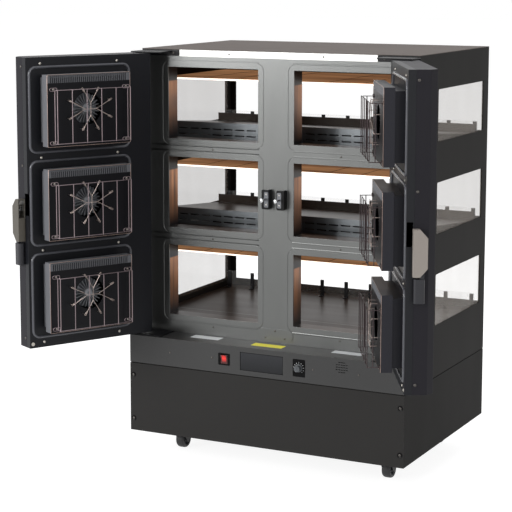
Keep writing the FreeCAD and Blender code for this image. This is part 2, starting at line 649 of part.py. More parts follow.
# Shelf decks: a floor sheet for each tier, and on the upper two a raised deck that slopes to the customer
decks = []
DECK_SIDE = INNER - S.pane_thickness - S.lining_gap
SHELF_BACK = S.case_depth - S.shelf_margin
for index, sill in enumerate(SILLS):
    floor = sill - S.deck_drop
    decks.append(cut(box((-INNER, INNER), (LINING_BACK, BACK), (floor - S.shelf_skin, floor)),
                     column_blocks + [divider_block]))
    if index == 0:
        continue
    front = S.shelf_front
    back = SHELF_BACK
    skin = S.shelf_skin
    top = sill + S.shelf_rise
    rear = sill + S.shelf_fall
    outline = [
        (front, floor), (front, top), (back, rear), (back, rear + S.upstand), (back + skin, rear + S.upstand),
        (back + skin, floor), (back, floor), (back, rear - skin), (front + skin, top - skin),
        (front + skin, floor),
    ]
    deck = prism(f"deck_{index}", outline, -DECK_SIDE, DECK_SIDE * 2)
    slot_count = int((DECK_SIDE * 2 - S.slot_pitch).value / S.slot_pitch.value)
    first = -(slot_count - 1) / 2
    slots = [
        box(span((first + step) * S.slot_pitch, S.slot_length / 2), (front - 1, front + skin + 1),
            (sill + level, sill + level + S.slot_height))
        for step in range(slot_count) for level in (S.slot_low - S.deck_drop, S.slot_high - S.deck_drop)
    ]
    decks.append(cut(deck, slots))
node("shelf_decks", group(decks))

# Clear stops: an upright clear strip at the customer end of each tier
STOP_BACK = S.case_depth - S.stop_margin
stops = []
prongs = []
for sill in SILLS:
    floor = sill - S.deck_drop
    stop_half = INNER - S.stop_end_gap
    stops.append(box((-stop_half, stop_half), (STOP_BACK - S.stop_thickness, STOP_BACK),
                     (floor, floor + S.stop_height)))
    prong_back = STOP_BACK - S.stop_thickness
    prong_count = int((stop_half * 2).value / S.prong_pitch.value)
    for step in range(prong_count + 1):
        middle = (step - prong_count / 2) * S.prong_pitch
        prongs.append(fuse([
            box((middle - S.prong_width / 2, middle + S.prong_width / 2),
                (prong_back - S.prong_thickness, prong_back), (floor, floor + S.prong_height)),
            box((middle - S.prong_width / 2, middle + S.prong_width / 2),
                (prong_back - S.prong_foot, prong_back), (floor, floor + S.prong_thickness)),
        ]))
node("clear_stops", group(stops))

# Prong stops: black angle brackets that stand on each floor and hold the clear strip
node("prong_stops", group(prongs))

# Light canopies: the bright ceiling sheet of each tier, with a light bar under it
canopies = []
lights = []
for sill in SILLS:
    level = sill + OPENING_HEIGHT - S.canopy_drop
    canopies.append(box((-INNER, INNER), (S.canopy_front, S.case_depth - S.canopy_margin),
                        (level, level + S.canopy_skin)))
    light_half = INNER - S.light_end_gap
    lights.append(rounded(box((-light_half, light_half), (S.light_front, S.light_front + S.light_depth),
                              (level - S.light_height, level)), "x", S.light_round))
node("light_canopies", group(canopies))
node("light_bars", group(lights))

# Electrics box: a lidded case on the base tray, with the cable gland below it
BOX_LOW = S.underside + SKIN
BOX_HIGH = PANEL_SPLIT - S.box_clearance + SKIN
box_span = (BOX_LEFT, BOX_RIGHT)
box_depth = (S.box_front, BOX_BACK)
case = cut(
    box(box_span, box_depth, (BOX_LOW, BOX_HIGH)),
    [box((BOX_LEFT + SKIN, BOX_RIGHT - SKIN), (S.box_front + SKIN, BOX_BACK - SKIN),
         (BOX_LOW + SKIN, BOX_HIGH + 1))],
)
lid = box(box_span, box_depth, (BOX_HIGH, BOX_HIGH + SKIN))
gland = fuse([
    rod((GLAND_ACROSS, GLAND_BACK, S.underside - S.gland_length), "z", S.gland_length, S.gland_radius),
    rod((GLAND_ACROSS, GLAND_BACK, S.underside - 1), "z", SKIN + 1, S.gland_neck),
])
cable_bore = rod((GLAND_ACROSS, GLAND_BACK, S.underside - S.gland_length - 1), "z",
                 S.gland_length + SKIN * 2 + 2, S.cable_radius)
case = cut(case, [cable_bore])
gland = cut(gland, [cable_bore])
node("electrics_box", group([case, lid, gland]))

# Case screws: heads on the frame, the two front panels, the rail, the brackets and the cover
RAIL_MIDDLE = TOP_LOW - S.rail_height / 2
heads = []
for side in SIDES:
    seam = out(side, OPENING_MIDDLE)
    edge = out(side, HALF - S.edge_screw)
    heads += screws([(seam, S.frame_face, sill - S.screw_drop) for sill in SILLS], "y", -1, True)
    heads += screws([(edge, 0, S.underside + S.panel_screw_rise),
                     (edge, 0, PANEL_SPLIT - S.panel_screw_drop)], "y", -1)
    heads += screws([(out(side, spot), 0, CONTROL_LEVEL)
                     for spot in (HALF - S.fascia_screw_inset, S.fascia_screw_near)], "y", -1)
    heads += screws([(out(side, S.rail_screw), RAIL_FRONT, RAIL_MIDDLE)], "y", -1, True)
    heads += screws([(out(side, RAIL_HALF + S.bracket_screw), S.frame_face - S.bracket_flange, RAIL_MIDDLE)],
                    "y", -1)
    heads += screws([(out(side, S.cover_screw), S.frame_face - S.cover_thickness,
                      COVER_BASE + S.cover_screw_low)], "y", -1, True)
heads += screws([(0, S.frame_face - S.cover_thickness, COVER_BASE + S.cover_screw_high)], "y", -1, True)
node("case_screws", group(heads))

# Casters: a plate with a kingpin under the tray, a swivelling fork and a wheel that trails behind the pin
RACE_LOW = S.underside - S.caster_plate - S.race_height
CROWN_HIGH = RACE_LOW - S.swivel_gap
CROWN_LOW = CROWN_HIGH - S.crown_thickness
cheek_inner = S.wheel_half + S.cheek_gap
cheek_outer = cheek_inner + S.cheek_thickness
plates = []
swivels = {}
for end, along in (("front", S.caster_front), ("rear", S.case_depth - S.caster_margin)):
    for side in SIDES:
        centre = out(side, HALF - S.caster_inset)
        plates.append(fuse([
            box((centre - S.caster_plate_half, centre + S.caster_plate_half),
                (along - S.caster_plate_half, along + S.caster_plate_half),
                (S.underside - S.caster_plate, S.underside)),
            rod((centre, along, RACE_LOW), "z", S.race_height + 1, S.race_radius),
            rod((centre, along, CROWN_LOW - S.swivel_gap), "z", S.underside - CROWN_LOW, S.kingpin_radius),
            rod((centre, along, CROWN_LOW - S.swivel_gap - S.pin_head), "z", S.pin_head,
                S.kingpin_radius + S.pin_head),
        ]))
        swivels[f"{end}_{side}"] = (centre, along)
node("caster_plates", group(plates))

fork_parts = [rod((0, 0, CROWN_LOW), "z", S.crown_thickness, S.crown_radius)]
for low in (-cheek_outer, cheek_inner):
    fork_parts.append(prism("cheek", [
        (-S.cheek_half, CROWN_LOW + 1), (S.cheek_half, CROWN_LOW + 1),
        (S.caster_trail + S.cheek_front, S.wheel_radius + S.cheek_rise),
        (S.caster_trail + S.cheek_front, S.wheel_radius - S.cheek_rise),
        (S.caster_trail + S.cheek_toe, S.wheel_radius - S.cheek_low),
        (S.caster_trail - S.cheek_heel, S.wheel_radius - S.cheek_low),
    ], low, S.cheek_thickness))
fork_parts.append(rod((-cheek_outer, S.caster_trail, S.wheel_radius), "x", cheek_outer * 2, S.axle_radius))
fork = cut(fuse(fork_parts), [rod((0, 0, CROWN_LOW - 1), "z", S.crown_thickness + 2,
                                  S.kingpin_radius + S.running_fit)])
half = S.wheel_half
rim = S.wheel_radius
bore = S.axle_radius + S.running_fit
wheel = turned("caster_wheel", [
    (bore, S.hub_recess - half), (S.dish_radius, S.hub_recess - half), (S.rim_radius, -half),
    (rim - S.tyre_round, -half), (rim, S.tyre_round - half), (rim, half - S.tyre_round),
    (rim - S.tyre_round, half), (S.rim_radius, half), (S.dish_radius, half - S.hub_recess),
    (bore, half - S.hub_recess),
])
wheel.Placement = FreeCAD.Placement(V(0, 0, 0), AXES["x"])
for name, (centre, along) in swivels.items():
    node(f"caster_fork_{name}", group([placed(fork, (centre, along, 0))]))
    node(f"caster_wheel_{name}",
         group([placed(wheel, (centre, along + S.caster_trail, S.wheel_radius))]))

# Fan impeller: a back disc, a hub and radial blades, the same in all six modules
IMPELLER_FRONT = S.impeller_back + S.impeller_depth
blade = box((S.blade_inner, S.impeller_radius - S.blade_trim), (S.impeller_back, IMPELLER_FRONT),
            (-S.blade_thickness / 2, S.blade_thickness / 2))
impeller_parts = [
    rod((0, S.impeller_back, 0), "y", S.disc_thickness, S.impeller_radius),
    rod((0, S.impeller_back, 0), "y", S.impeller_depth - S.hub_set, S.hub_radius),
]
BLADES = int(S.blade_count.value)
for step in range(BLADES):
    copy = group([blade])
    copy.Placement = FreeCAD.Placement(V(0, 0, 0), FreeCAD.Rotation(V(0, 1, 0), 360 * step / BLADES))
    impeller_parts.append(copy)
impeller = cut(fuse(impeller_parts), [rod((0, S.impeller_back - 1, 0), "y", S.impeller_depth + 2,
                                          S.shaft_radius + S.running_fit)])

MIDDLES = [sill + OPENING_HEIGHT / 2 for sill in SILLS]
ROW_NAMES = ["bottom", "middle", "top"] + [f"extra_{index}" for index in range(3, len(SILLS))]


def stack(item):
    """One copy of a module piece at the middle of each tier."""
    return [placed(item, (0, 0, middle)) for middle in MIDDLES]


def door_outline(side, inset):
    """The plan of the outer shell, drawn in by a wall, with its bevelled free edge."""
    bevel = S.door_chamfer - inset * BEVEL_SHARE
    low = S.door_free + inset
    front = S.door_outer + inset
    high = HALF - inset
    points = [(low, S.door_seam), (low, front + bevel), (low + bevel, front), (high, front),
              (high, S.door_seam)]
    return [(out(side, Size.of(a)), b) for a, b in points]


for side in SIDES:
    # Outer shell: a deep tray of sheet with a bevelled free edge and a hole for each hinge bush
    shell = prism(f"{side}_shell_block", door_outline(side, Size.of(0)), DOOR_LOW, DOOR_HIGH - DOOR_LOW,
                  "XY_Plane")
    core = prism(f"{side}_shell_core", door_outline(side, S.door_skin), DOOR_LOW + S.door_skin,
                 DOOR_HIGH - DOOR_LOW - S.door_skin * 2, "XY_Plane")
    hinge = out(side, HINGE_ACROSS)
    bush_holes = rod((hinge, S.hinge_setback, DOOR_LOW - 1), "z", DOOR_HIGH - DOOR_LOW + 2, S.bush_radius)
    node(f"{side}_outer_shell", cut(shell, [core, bush_holes]), side)

    # Inner pan: a shallow tray that closes the door, carries the fan modules and is notched for the striker
    wide = across(side, S.door_free, HALF)
    notch = box(across(side, S.door_free - 1, STRIKER_OUTER + S.notch_gap),
                (S.striker_front - S.notch_gap, S.door_inner + 1),
                (STRIKER_LOW - S.notch_gap, STRIKER_HIGH + S.notch_gap))
    pan = cut(
        box(wide, (S.door_seam, S.door_inner), (DOOR_LOW, DOOR_HIGH)),
        [box(across(side, S.door_free + S.door_skin, HALF - S.door_skin),
             (S.door_seam - 1, S.door_inner - S.door_skin),
             (DOOR_LOW + S.door_skin, DOOR_HIGH - S.door_skin)), notch],
    )
    node(f"{side}_inner_pan", pan, side)

    # Door seals: a soft bead round each opening
    wide = across(side, S.opening_inner - S.seal_margin, OPENING_OUTER + S.seal_margin)
    reach = OPENING_HEIGHT / 2 + S.seal_margin
    bead = ring(wide, (S.door_inner, S.door_inner + S.seal_height), (-reach, reach), S.seal_radius,
                S.seal_width)
    node(f"{side}_door_seals", group(stack(bead)), side)

    # Fan housings: a pressed box with a narrower base, a slotted grille and a round fan opening
    skin = S.module_skin
    taper = S.module_taper
    outer = [
        box(across(side, S.module_inner, MODULE_OUTER), (S.module_step, S.module_face),
            (-MODULE_HALF, MODULE_HALF)),
        box(across(side, S.module_inner + taper, MODULE_OUTER - taper), (S.door_inner, S.module_step + 1),
            (taper - MODULE_HALF, MODULE_HALF - taper)),
    ]
    hollow = [
        box(across(side, S.module_inner + skin, MODULE_OUTER - skin),
            (S.module_step + skin, S.module_face - skin), (skin - MODULE_HALF, MODULE_HALF - skin)),
        box(across(side, S.module_inner + taper + skin, MODULE_OUTER - taper - skin),
            (S.door_inner - 1, S.module_step + skin + 1),
            (taper + skin - MODULE_HALF, MODULE_HALF - taper - skin)),
    ]
    grille_high = MODULE_HALF - S.grille_drop
    slot_first = S.module_inner + S.grille_inset
    slot_total = int((MODULE_OUTER - S.module_inner - S.grille_inset * 2).value / S.grille_pitch.value)
    slot_places = [slot_first + S.grille_pitch * step for step in range(slot_total)]
    slots = [
        box(across(side, place, place + S.grille_slot), (S.module_face - skin - 1, S.module_face + 1),
            (grille_high - S.grille_height, grille_high))
        for place in slot_places
    ]
    fan = out(side, FAN_ACROSS)
    mouth = rod((fan, S.module_face - skin - 1, S.fan_lift), "y", skin + 2, S.fan_opening)
    housing = cut(fuse(outer), hollow + slots + [mouth])
    node(f"{side}_fan_housings", group(stack(housing)), side)

    # Fan drives: a round motor on the pan behind each fan, with its shaft
    drive = fuse([
        rod((fan, S.door_inner, S.fan_lift), "y", S.motor_depth, S.motor_radius),
        rod((fan, S.door_inner, S.fan_lift), "y", IMPELLER_FRONT - S.hub_set - S.door_inner, S.shaft_radius),
    ])
    node(f"{side}_fan_drives", group(stack(drive)), side)

    # Heater rings: a bent tube round each fan, on two posts
    tube = doc.addObject("Part::Torus", "Tube")
    tube.Placement = FreeCAD.Placement(V(0, 0, 0), AXES["y"])
    bind(tube, "Radius1", S.heater_radius)
    bind(tube, "Radius2", S.heater_tube)
    bind_base(tube, (fan, S.heater_level, S.fan_lift))
    legs = [
        rod((fan + S.heater_radius * way, S.door_inner, S.fan_lift), "y", S.heater_level - S.door_inner,
            S.heater_post)
        for way in (-1, 1)
    ]
    node(f"{side}_heater_rings", group(stack(fuse([tube] + legs))), side)

    # Fan guards: a welded wire cage in front of each module, and a wire spider over the fan itself
    low = S.guard_low - MODULE_HALF
    high = low + MODULE_HALF * 2 - S.guard_drop
    hoop_radius = S.wire_radius - S.wire_step * 2
    leg_radius = S.wire_radius - S.wire_step
    wires = []
    guard_outer = MODULE_OUTER - S.guard_margin
    guard_pitch = (guard_outer - S.guard_inner) / (S.guard_wires - 1)
    for step in range(int(S.guard_wires.value)):
        place = out(side, S.guard_inner + guard_pitch * step)
        wires.append(rod((place, S.guard_face, low - S.wire_radius), "z", high - low + S.wire_radius * 2,
                         S.wire_radius))
    edges = across(side, S.guard_inner, guard_outer)
    for level in (low, high):
        for depth in (S.guard_mid, S.guard_face):
            wires.append(rod((edges[0], depth, level), "x", edges[1] - edges[0], hoop_radius))
        for place in edges:
            wires.append(rod((place, S.module_face, level), "y", S.guard_face - S.module_face, leg_radius))
            wires.append(rod((place, S.module_face, level), "y", S.eyelet_height, S.eyelet_radius))
    hub = S.spider_hub
    tips = [(S.spider_reach, S.spider_spread, hub, 0), (S.spider_spread, S.spider_rise, 0, hub)]
    spider = [
        box(span(fan, wide + leg_radius), span(S.spider_level, leg_radius),
            span(S.fan_lift, high + leg_radius))
        for wide, high in ((hub, 0), (0, hub))
    ]
    for reach, rise, start, lift in tips:
        for flip in (-1, 1):
            for turn in (-1, 1):
                root = (fan + start * flip, S.spider_level, S.fan_lift + lift * turn)
                tip = (fan + reach * flip, S.spider_level, S.fan_lift + rise * turn)
                spider.append(strut(root, tip, hoop_radius * 2))
                spider.append(box((tip[0] - leg_radius, tip[0] + leg_radius),
                                  (S.module_face, S.spider_level + leg_radius),
                                  (tip[2] - leg_radius, tip[2] + leg_radius)))
    node(f"{side}_fan_guards", group(stack(fuse(wires)) + stack(fuse(spider))), side)

    # Door fittings: screws on the pan and the free edge, a magnet button, and a bush for each hinge pin
    rows = SILLS + [SILLS[-1] + TIER_PITCH]
    pan_screws = [
        (out(side, spot), S.door_inner, row - S.pan_screw_drop)
        for row in rows for spot in (S.pan_screw_inner, OPENING_OUTER - S.pan_screw_margin)
    ]
    edge_rows = (DOOR_LOW + S.edge_screw_low, DOOR_LOW + S.edge_screw_middle, DOOR_HIGH - S.edge_screw_low)
    free = out(side, S.door_free)
    fittings = screws(pan_screws, "y", 1)
    fittings += screws([(free, S.edge_screw_along, row) for row in edge_rows], "x", -SIDES[side])
    fittings.append(rod((out(side, S.magnet_across), S.door_inner, DOOR_LOW + S.magnet_rise), "y",
                        S.screw_height, S.magnet_radius))
    for start in (DOOR_LOW, DOOR_HIGH - S.pin_length - S.bush_floor):
        bush = cut(
            rod((hinge, S.hinge_setback, start), "z", S.pin_length + S.bush_floor, S.bush_radius),
            [rod((hinge, S.hinge_setback, start - 1), "z", S.pin_length + S.bush_floor + 2,
                 S.pin_radius + S.running_fit)],
        )
        fittings.append(bush)
    node(f"{side}_door_fittings", group(fittings), side)

    # Latch body: a case on the free edge with a pocket for the post, a guide for the catch and the lever pin
    latch_base = POST_LEVEL - S.latch_fall
    latch_top = latch_base + S.latch_height
    nose = S.latch_front + S.latch_nose_depth
    wide = across(side, S.latch_inner, S.door_free)
    latch = prism(f"{side}_latch_case", [
        (S.latch_back, latch_base), (S.latch_back, latch_top), (nose, latch_top),
        (S.latch_front, latch_top - S.latch_nose_height), (S.latch_front, latch_base + S.latch_nose_height),
        (nose, latch_base),
    ], wide[0], wide[1] - wide[0])
    pocket_high = latch_top - S.pocket_top
    pocket_low = pocket_high - S.pocket_height
    catch_span = (S.catch_level, S.catch_level + S.catch_thickness)
    catch_across = out(side, S.post_centre)
    catch_rest = POST_LEVEL - S.catch_fall
    stem_low = catch_rest - S.stem_length
    gap = S.guide_gap
    pivot_level = latch_base + S.lever_pivot
    slot_half = S.lug_rise + S.lever_slot_gap
    pocket = box(across(side, S.latch_inner + S.pocket_side, S.door_free - S.pocket_side),
                 (S.latch_front + S.pocket_front, S.latch_back + 1), (pocket_low, pocket_high))
    guide = box((catch_across - S.stem_half - gap, catch_across + S.stem_half + gap),
                (catch_span[0] - gap, catch_span[1] + gap), (stem_low - gap, pocket_low + 1))
    lever_slot = box((catch_across - S.lug_half - gap, catch_across + S.lug_half + gap),
                     (S.lever_centre - slot_half, S.lever_centre + slot_half),
                     (latch_base - 1, pivot_level + slot_half))
    pivot = rod((wide[0] + 1, S.lever_centre, pivot_level), "x", wide[1] - wide[0] - 2, S.pivot_radius)
    node(f"{side}_latch_body", fuse([cut(latch, [pocket, guide, lever_slot]), pivot]), side)

    # Latch lever: a rounded grip below the case, on a lug that turns on the pin
    grip_top = latch_base - S.lever_drop
    grip = rounded(box((catch_across - S.lever_half, catch_across + S.lever_half),
                       (S.lever_front, S.lever_back), (grip_top - S.lever_length, grip_top)), "z",
                   S.lever_round)
    lug = rounded(box((catch_across - S.lug_half, catch_across + S.lug_half),
                      (S.lever_centre - S.lug_rise, S.lever_centre + S.lug_rise),
                      (grip_top - 1, pivot_level + S.lug_rise)), "x", S.lug_round)
    lug_bore = rod((catch_across - S.lug_half - 1, S.lever_centre, pivot_level), "x", S.lug_half * 2 + 2,
                   S.pivot_radius + S.running_fit)
    node(f"{side}_latch_lever", cut(fuse([grip, lug]), [lug_bore]), side)

    # Latch catch: a forked plate that rises round the post behind its head, on a flat stem
    fork_gap = S.post_radius + S.catch_clearance
    catch_top = catch_rest + S.catch_height
    catch = cut(
        fuse([
            box((catch_across - S.catch_half, catch_across + S.catch_half), catch_span,
                (catch_rest, catch_top)),
            box((catch_across - S.stem_half, catch_across + S.stem_half), catch_span,
                (stem_low, catch_rest + 1)),
        ]),
        [box((catch_across - fork_gap, catch_across + fork_gap), (catch_span[0] - 1, catch_span[1] + 1),
             (catch_top - fork_gap * 2, catch_top + 1))],
    )
    node(f"{side}_latch_catch", catch, side)

    # Impellers: one on each shaft
    for row, middle in zip(ROW_NAMES, MIDDLES):
        node(f"{side}_impeller_{row}", group([placed(impeller, (fan, 0, middle + S.fan_lift))]), side)

# Test every feature and sub-part, then write one file for each node
doc.recompute()
failed = [item.Name + " " + item.Label for item in doc.Objects
          if "Invalid" in item.State or "Error" in item.State]
if failed:
    raise RuntimeError("features that did not build: " + ", ".join(failed))
for item in nodes:
    if item.Shape.isNull() or not item.Shape.isValid() or not item.Shape.Solids:
        raise RuntimeError("sub-part has no valid solid: " + item.Label)
for item in nodes:
    item.Shape.exportStep(f"parts/{item.Label}.step")
print(len(nodes), "nodes written")
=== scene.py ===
import json
import math

import bmesh
import bpy
from mathutils import Matrix, Vector

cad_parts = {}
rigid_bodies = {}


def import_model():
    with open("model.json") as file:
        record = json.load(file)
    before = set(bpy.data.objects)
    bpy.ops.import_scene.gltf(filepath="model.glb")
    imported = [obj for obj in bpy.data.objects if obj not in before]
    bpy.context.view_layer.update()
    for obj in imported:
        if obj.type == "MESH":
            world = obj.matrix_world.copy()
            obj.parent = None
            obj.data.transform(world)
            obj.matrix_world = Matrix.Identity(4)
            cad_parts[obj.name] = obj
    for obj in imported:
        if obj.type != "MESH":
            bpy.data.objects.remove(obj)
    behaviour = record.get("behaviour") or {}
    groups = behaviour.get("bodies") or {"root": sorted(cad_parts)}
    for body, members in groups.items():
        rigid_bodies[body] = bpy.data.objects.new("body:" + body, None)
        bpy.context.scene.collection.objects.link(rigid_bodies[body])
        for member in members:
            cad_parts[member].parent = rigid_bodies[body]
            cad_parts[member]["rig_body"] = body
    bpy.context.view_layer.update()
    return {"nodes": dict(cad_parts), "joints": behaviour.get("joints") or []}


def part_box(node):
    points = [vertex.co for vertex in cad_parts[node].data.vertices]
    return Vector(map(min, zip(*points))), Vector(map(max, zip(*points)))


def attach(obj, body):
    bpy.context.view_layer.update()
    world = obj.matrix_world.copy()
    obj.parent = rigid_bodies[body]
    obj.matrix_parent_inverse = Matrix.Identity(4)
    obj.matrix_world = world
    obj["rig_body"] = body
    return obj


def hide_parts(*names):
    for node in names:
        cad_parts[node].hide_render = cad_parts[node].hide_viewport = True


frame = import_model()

# Studio: a pale floor and a white surround, soft lamps and the place from which the case is seen.
# The white is what the camera, gloss and glass look at; the lamps and a dim sky light the object.
CAMERA_PLACE = (2.3981, -5.0018, 1.6768)
CAMERA_YAW = 27.165
CAMERA_FALL = 8.221
CAMERA_LENS = 118.78
CAMERA_SHIFT = (0.0303, -0.1)
SKY_LIGHT = 0.42
FLOOR_REACH = 40.0
FLOOR_SHARE = 0.7
FLOOR_WHITE = 1.28
LAMPS = {
    "key": {"place": (-3.4, -5.2, 2.6), "aim": (0.0, 0.0, 0.9), "size": (2.6, 2.6), "watts": 330},
    "fill": {"place": (4.6, -3.2, 2.4), "aim": (0.0, 0.0, 0.8), "size": (2.4, 2.4), "watts": 70},
    "overhead": {"place": (0.3, -0.6, 4.4), "aim": (0.0, 0.0, 1.0), "size": (3.0, 3.0), "watts": 60},
    "back": {"place": (-0.6, 4.2, 2.6), "aim": (0.0, 0.3, 0.9), "size": (2.6, 2.2), "watts": 150},
}


def tint(code, strength=1.0):
    """The light value of a colour that is written as it looks, such as #3a3938."""
    parts = [int(code[start:start + 2], 16) / 255 for start in (1, 3, 5)]
    linear = [p / 12.92 if p <= 0.04045 else ((p + 0.055) / 1.055) ** 2.4 for p in parts]
    return (*[value * strength for value in linear], 1.0)


class Reading:
    """A number or colour that changes from place to place; sums and products of it add nodes."""

    def __init__(self, tree, socket):
        self.tree = tree
        self.socket = socket

    def maths(self, operation, first, second):
        return self.tree.node("ShaderNodeMath", {"operation": operation}, {"Value": first, "Value_001": second})

    def __add__(self, other):
        return self.maths("ADD", self, other)

    def __radd__(self, other):
        return self.maths("ADD", other, self)

    def __sub__(self, other):
        return self.maths("SUBTRACT", self, other)

    def __rsub__(self, other):
        return self.maths("SUBTRACT", other, self)

    def __mul__(self, other):
        return self.maths("MULTIPLY", self, other)

    def __rmul__(self, other):
        return self.maths("MULTIPLY", other, self)

    def __truediv__(self, other):
        return self.maths("DIVIDE", self, other)

    def shaped(self, operation):
        """One of the sums that take a single value, such as a sine."""
        return self.maths(operation, self, 0.0)

    def between(self, low, high):
        """0 at and below low, 1 at and above high, and a straight rise in between."""
        return self.tree.node("ShaderNodeMapRange", {"clamp": True},
                              {"Value": self, "From Min": low, "From Max": high})


class Tree:
    """A node tree while it is laid out."""

    def __init__(self, tree):
        self.tree = tree
        tree.nodes.clear()

    def node(self, kind, settings=None, sockets=None, out=0):
        made = self.tree.nodes.new(kind)
        for name, value in (settings or {}).items():
            setattr(made, name, value)
        for name, value in (sockets or {}).items():
            plug = next(socket for socket in made.inputs if socket.identifier == name)
            for one in value if isinstance(value, list) else [value]:
                if isinstance(one, Reading):
                    self.tree.links.new(one.socket, plug)
                else:
                    plug.default_value = one
        if made.outputs:
            chosen = [socket for socket in made.outputs if socket.identifier == out]
            return Reading(self, chosen[0] if chosen else made.outputs[out])


class Finish(Tree):
    """A surface finish, from readings of the place on the piece to the coat that they feed."""

    def __init__(self, name):
        self.material = bpy.data.materials.new(name)
        self.material.use_nodes = True
        super().__init__(self.material.node_tree)
        self.place = self.node("ShaderNodeTexCoord", out="Object")

    def mottle(self, size, detail=2.0, stretch=(1.0, 1.0, 1.0)):
        """Soft irregular patches of about that size; a stretch above 1 packs them closer along an axis."""
        where = self.node("ShaderNodeMapping", {}, {"Vector": self.place, "Scale": stretch})
        return self.node("ShaderNodeTexNoise", {}, {"Vector": where, "Scale": 1 / size, "Detail": detail})

    def along(self, axis):
        return self.node("ShaderNodeSeparateXYZ", {}, {"Vector": self.place}, axis)

    def blend(self, share, low, high):
        return self.node("ShaderNodeMix", {"data_type": "RGBA"},
                         {"Factor_Float": share, "A_Color": low, "B_Color": high}, "Result_Color")

    def relief(self, height, depth):
        return self.node("ShaderNodeBump", {}, {"Height": height, "Distance": depth, "Strength": 1.0})

    def coat(self, sockets):
        surface = self.node("ShaderNodeBsdfPrincipled", {}, sockets)
        self.node("ShaderNodeOutputMaterial", {}, {"Surface": surface})
        return self.material


def studio_white(tree, plain):
    """1 for what the camera, gloss or glass looks at, and the plain value for other light."""
    seen = tree.node("ShaderNodeLightPath", {}, {}, "Is Camera Ray")
    for way in ("Is Glossy Ray", "Is Transmission Ray"):
        seen = seen.maths("MAXIMUM", seen, tree.node("ShaderNodeLightPath", {}, {}, way))
    return plain + seen * (1 - plain)


def soft_floor():
    tree = Finish("pale_floor")
    lit = tree.node("ShaderNodeBsdfDiffuse", {}, {"Color": tint("#eeeeee")})
    glow = tree.node("ShaderNodeEmission", {}, {"Color": tint("#ffffff"), "Strength": FLOOR_WHITE})
    share = studio_white(tree, 0.0) * FLOOR_SHARE
    both = tree.node("ShaderNodeMixShader", {}, {"Fac": share, "Shader": lit, "Shader_001": glow})
    tree.node("ShaderNodeOutputMaterial", {}, {"Surface": both})
    return tree.material


scene = bpy.context.scene
scene.view_settings.view_transform = "Standard"
scene.world = bpy.data.worlds.new("surround")
scene.world.use_nodes = True
sky = Tree(scene.world.node_tree)
sky_colour = sky.node("ShaderNodeBackground", {}, {"Color": tint("#ffffff"),
                                                    "Strength": studio_white(sky, SKY_LIGHT)})
sky.node("ShaderNodeOutputWorld", {}, {"Surface": sky_colour})

camera_data = bpy.data.cameras.new("camera")
camera_data.lens = CAMERA_LENS
camera_data.shift_x, camera_data.shift_y = CAMERA_SHIFT
camera_data.clip_end = FLOOR_REACH * 2
camera = bpy.data.objects.new("camera", camera_data)
camera.location = CAMERA_PLACE
camera.rotation_euler = (math.radians(90 - CAMERA_FALL), 0.0, math.radians(CAMERA_YAW))
scene.collection.objects.link(camera)
scene.camera = camera

for lamp_name, lamp in LAMPS.items():
    light = bpy.data.lights.new(lamp_name, "AREA")
    light.shape = "RECTANGLE"
    light.size, light.size_y = lamp["size"]
    light.energy = lamp["watts"]
    holder = bpy.data.objects.new(lamp_name, light)
    holder.visible_glossy = lamp_name not in ("back", "overhead")
    holder.location = lamp["place"]
    aim = Vector(lamp["aim"]) - Vector(lamp["place"])
    holder.rotation_euler = aim.to_track_quat("-Z", "Y").to_euler()
    scene.collection.objects.link(holder)

floor_mesh = bpy.data.meshes.new("floor")
floor_mesh.from_pydata([(x * FLOOR_REACH, y * FLOOR_REACH, 0.0)
                        for x, y in ((-1, -1), (1, -1), (1, 1), (-1, 1))], [], [(0, 1, 2, 3)])
floor_mesh.materials.append(soft_floor())
floor = bpy.data.objects.new("floor", floor_mesh)
scene.collection.objects.link(floor)

# Casters: four swivel casters under the base tray, each a zinc plate, a black fork and a wide wheel.
# The wheel is a moulded core with a tyre; the fork is pressed steel and the axle passes through both.
SIDES = {"left": -1, "right": 1}
WHEEL_STEPS = 48
WHEEL_RIBS = 9


def tidy_mesh(name, shape):
    """A mesh with outward faces from a shape, which is then let go."""
    bmesh.ops.recalc_face_normals(shape, faces=shape.faces)
    mesh = bpy.data.meshes.new(name)
    shape.to_mesh(mesh)
    shape.free()
    return mesh


def stand(name, mesh, body, finish, replaced=(), smooth=False):
    """Put a finished mesh on its body, in its finish, in place of the plain nodes that it stands for."""
    piece = bpy.data.objects.new(name, mesh)
    scene.collection.objects.link(piece)
    if finish:
        mesh.materials.clear()
        mesh.materials.append(finish)
    for face in mesh.polygons:
        face.use_smooth = smooth
    if smooth:
        mesh.set_sharp_from_angle(angle=math.radians(38))
    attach(piece, body)
    for node in replaced:
        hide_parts(node)
    return piece


def eased(node, finish, reach=0.0006, steps=2, part=None):
    """A piece with its sharp edges rounded, as a press and a coat of paint leave them, or what of it lies in
    a named range of heights."""
    source = frame["nodes"][node]
    name, low, high = part or (node + "_finished", 0, 9)
    shape = bmesh.new()
    shape.from_mesh(source.data)
    bmesh.ops.delete(shape, geom=[vert for vert in shape.verts if not low <= vert.co.z <= high], context="VERTS")
    bmesh.ops.remove_doubles(shape, verts=shape.verts, dist=2e-6)
    bmesh.ops.dissolve_limit(shape, angle_limit=math.radians(0.5), verts=shape.verts, edges=shape.edges)
    sharp = [edge for edge in shape.edges
             if len(edge.link_faces) == 2 and edge.calc_face_angle(0) > math.radians(30)]
    bmesh.ops.bevel(shape, geom=sharp, offset=reach, segments=steps, profile=0.5, affect="EDGES",
                    clamp_overlap=False)
    piece = stand(name, tidy_mesh(name, shape), source["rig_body"], finish, [node], smooth=False)
    for face in piece.data.polygons:
        face.use_smooth = True
    weights = piece.modifiers.new("even_shading", "WEIGHTED_NORMAL")
    weights.weight = 80
    return piece


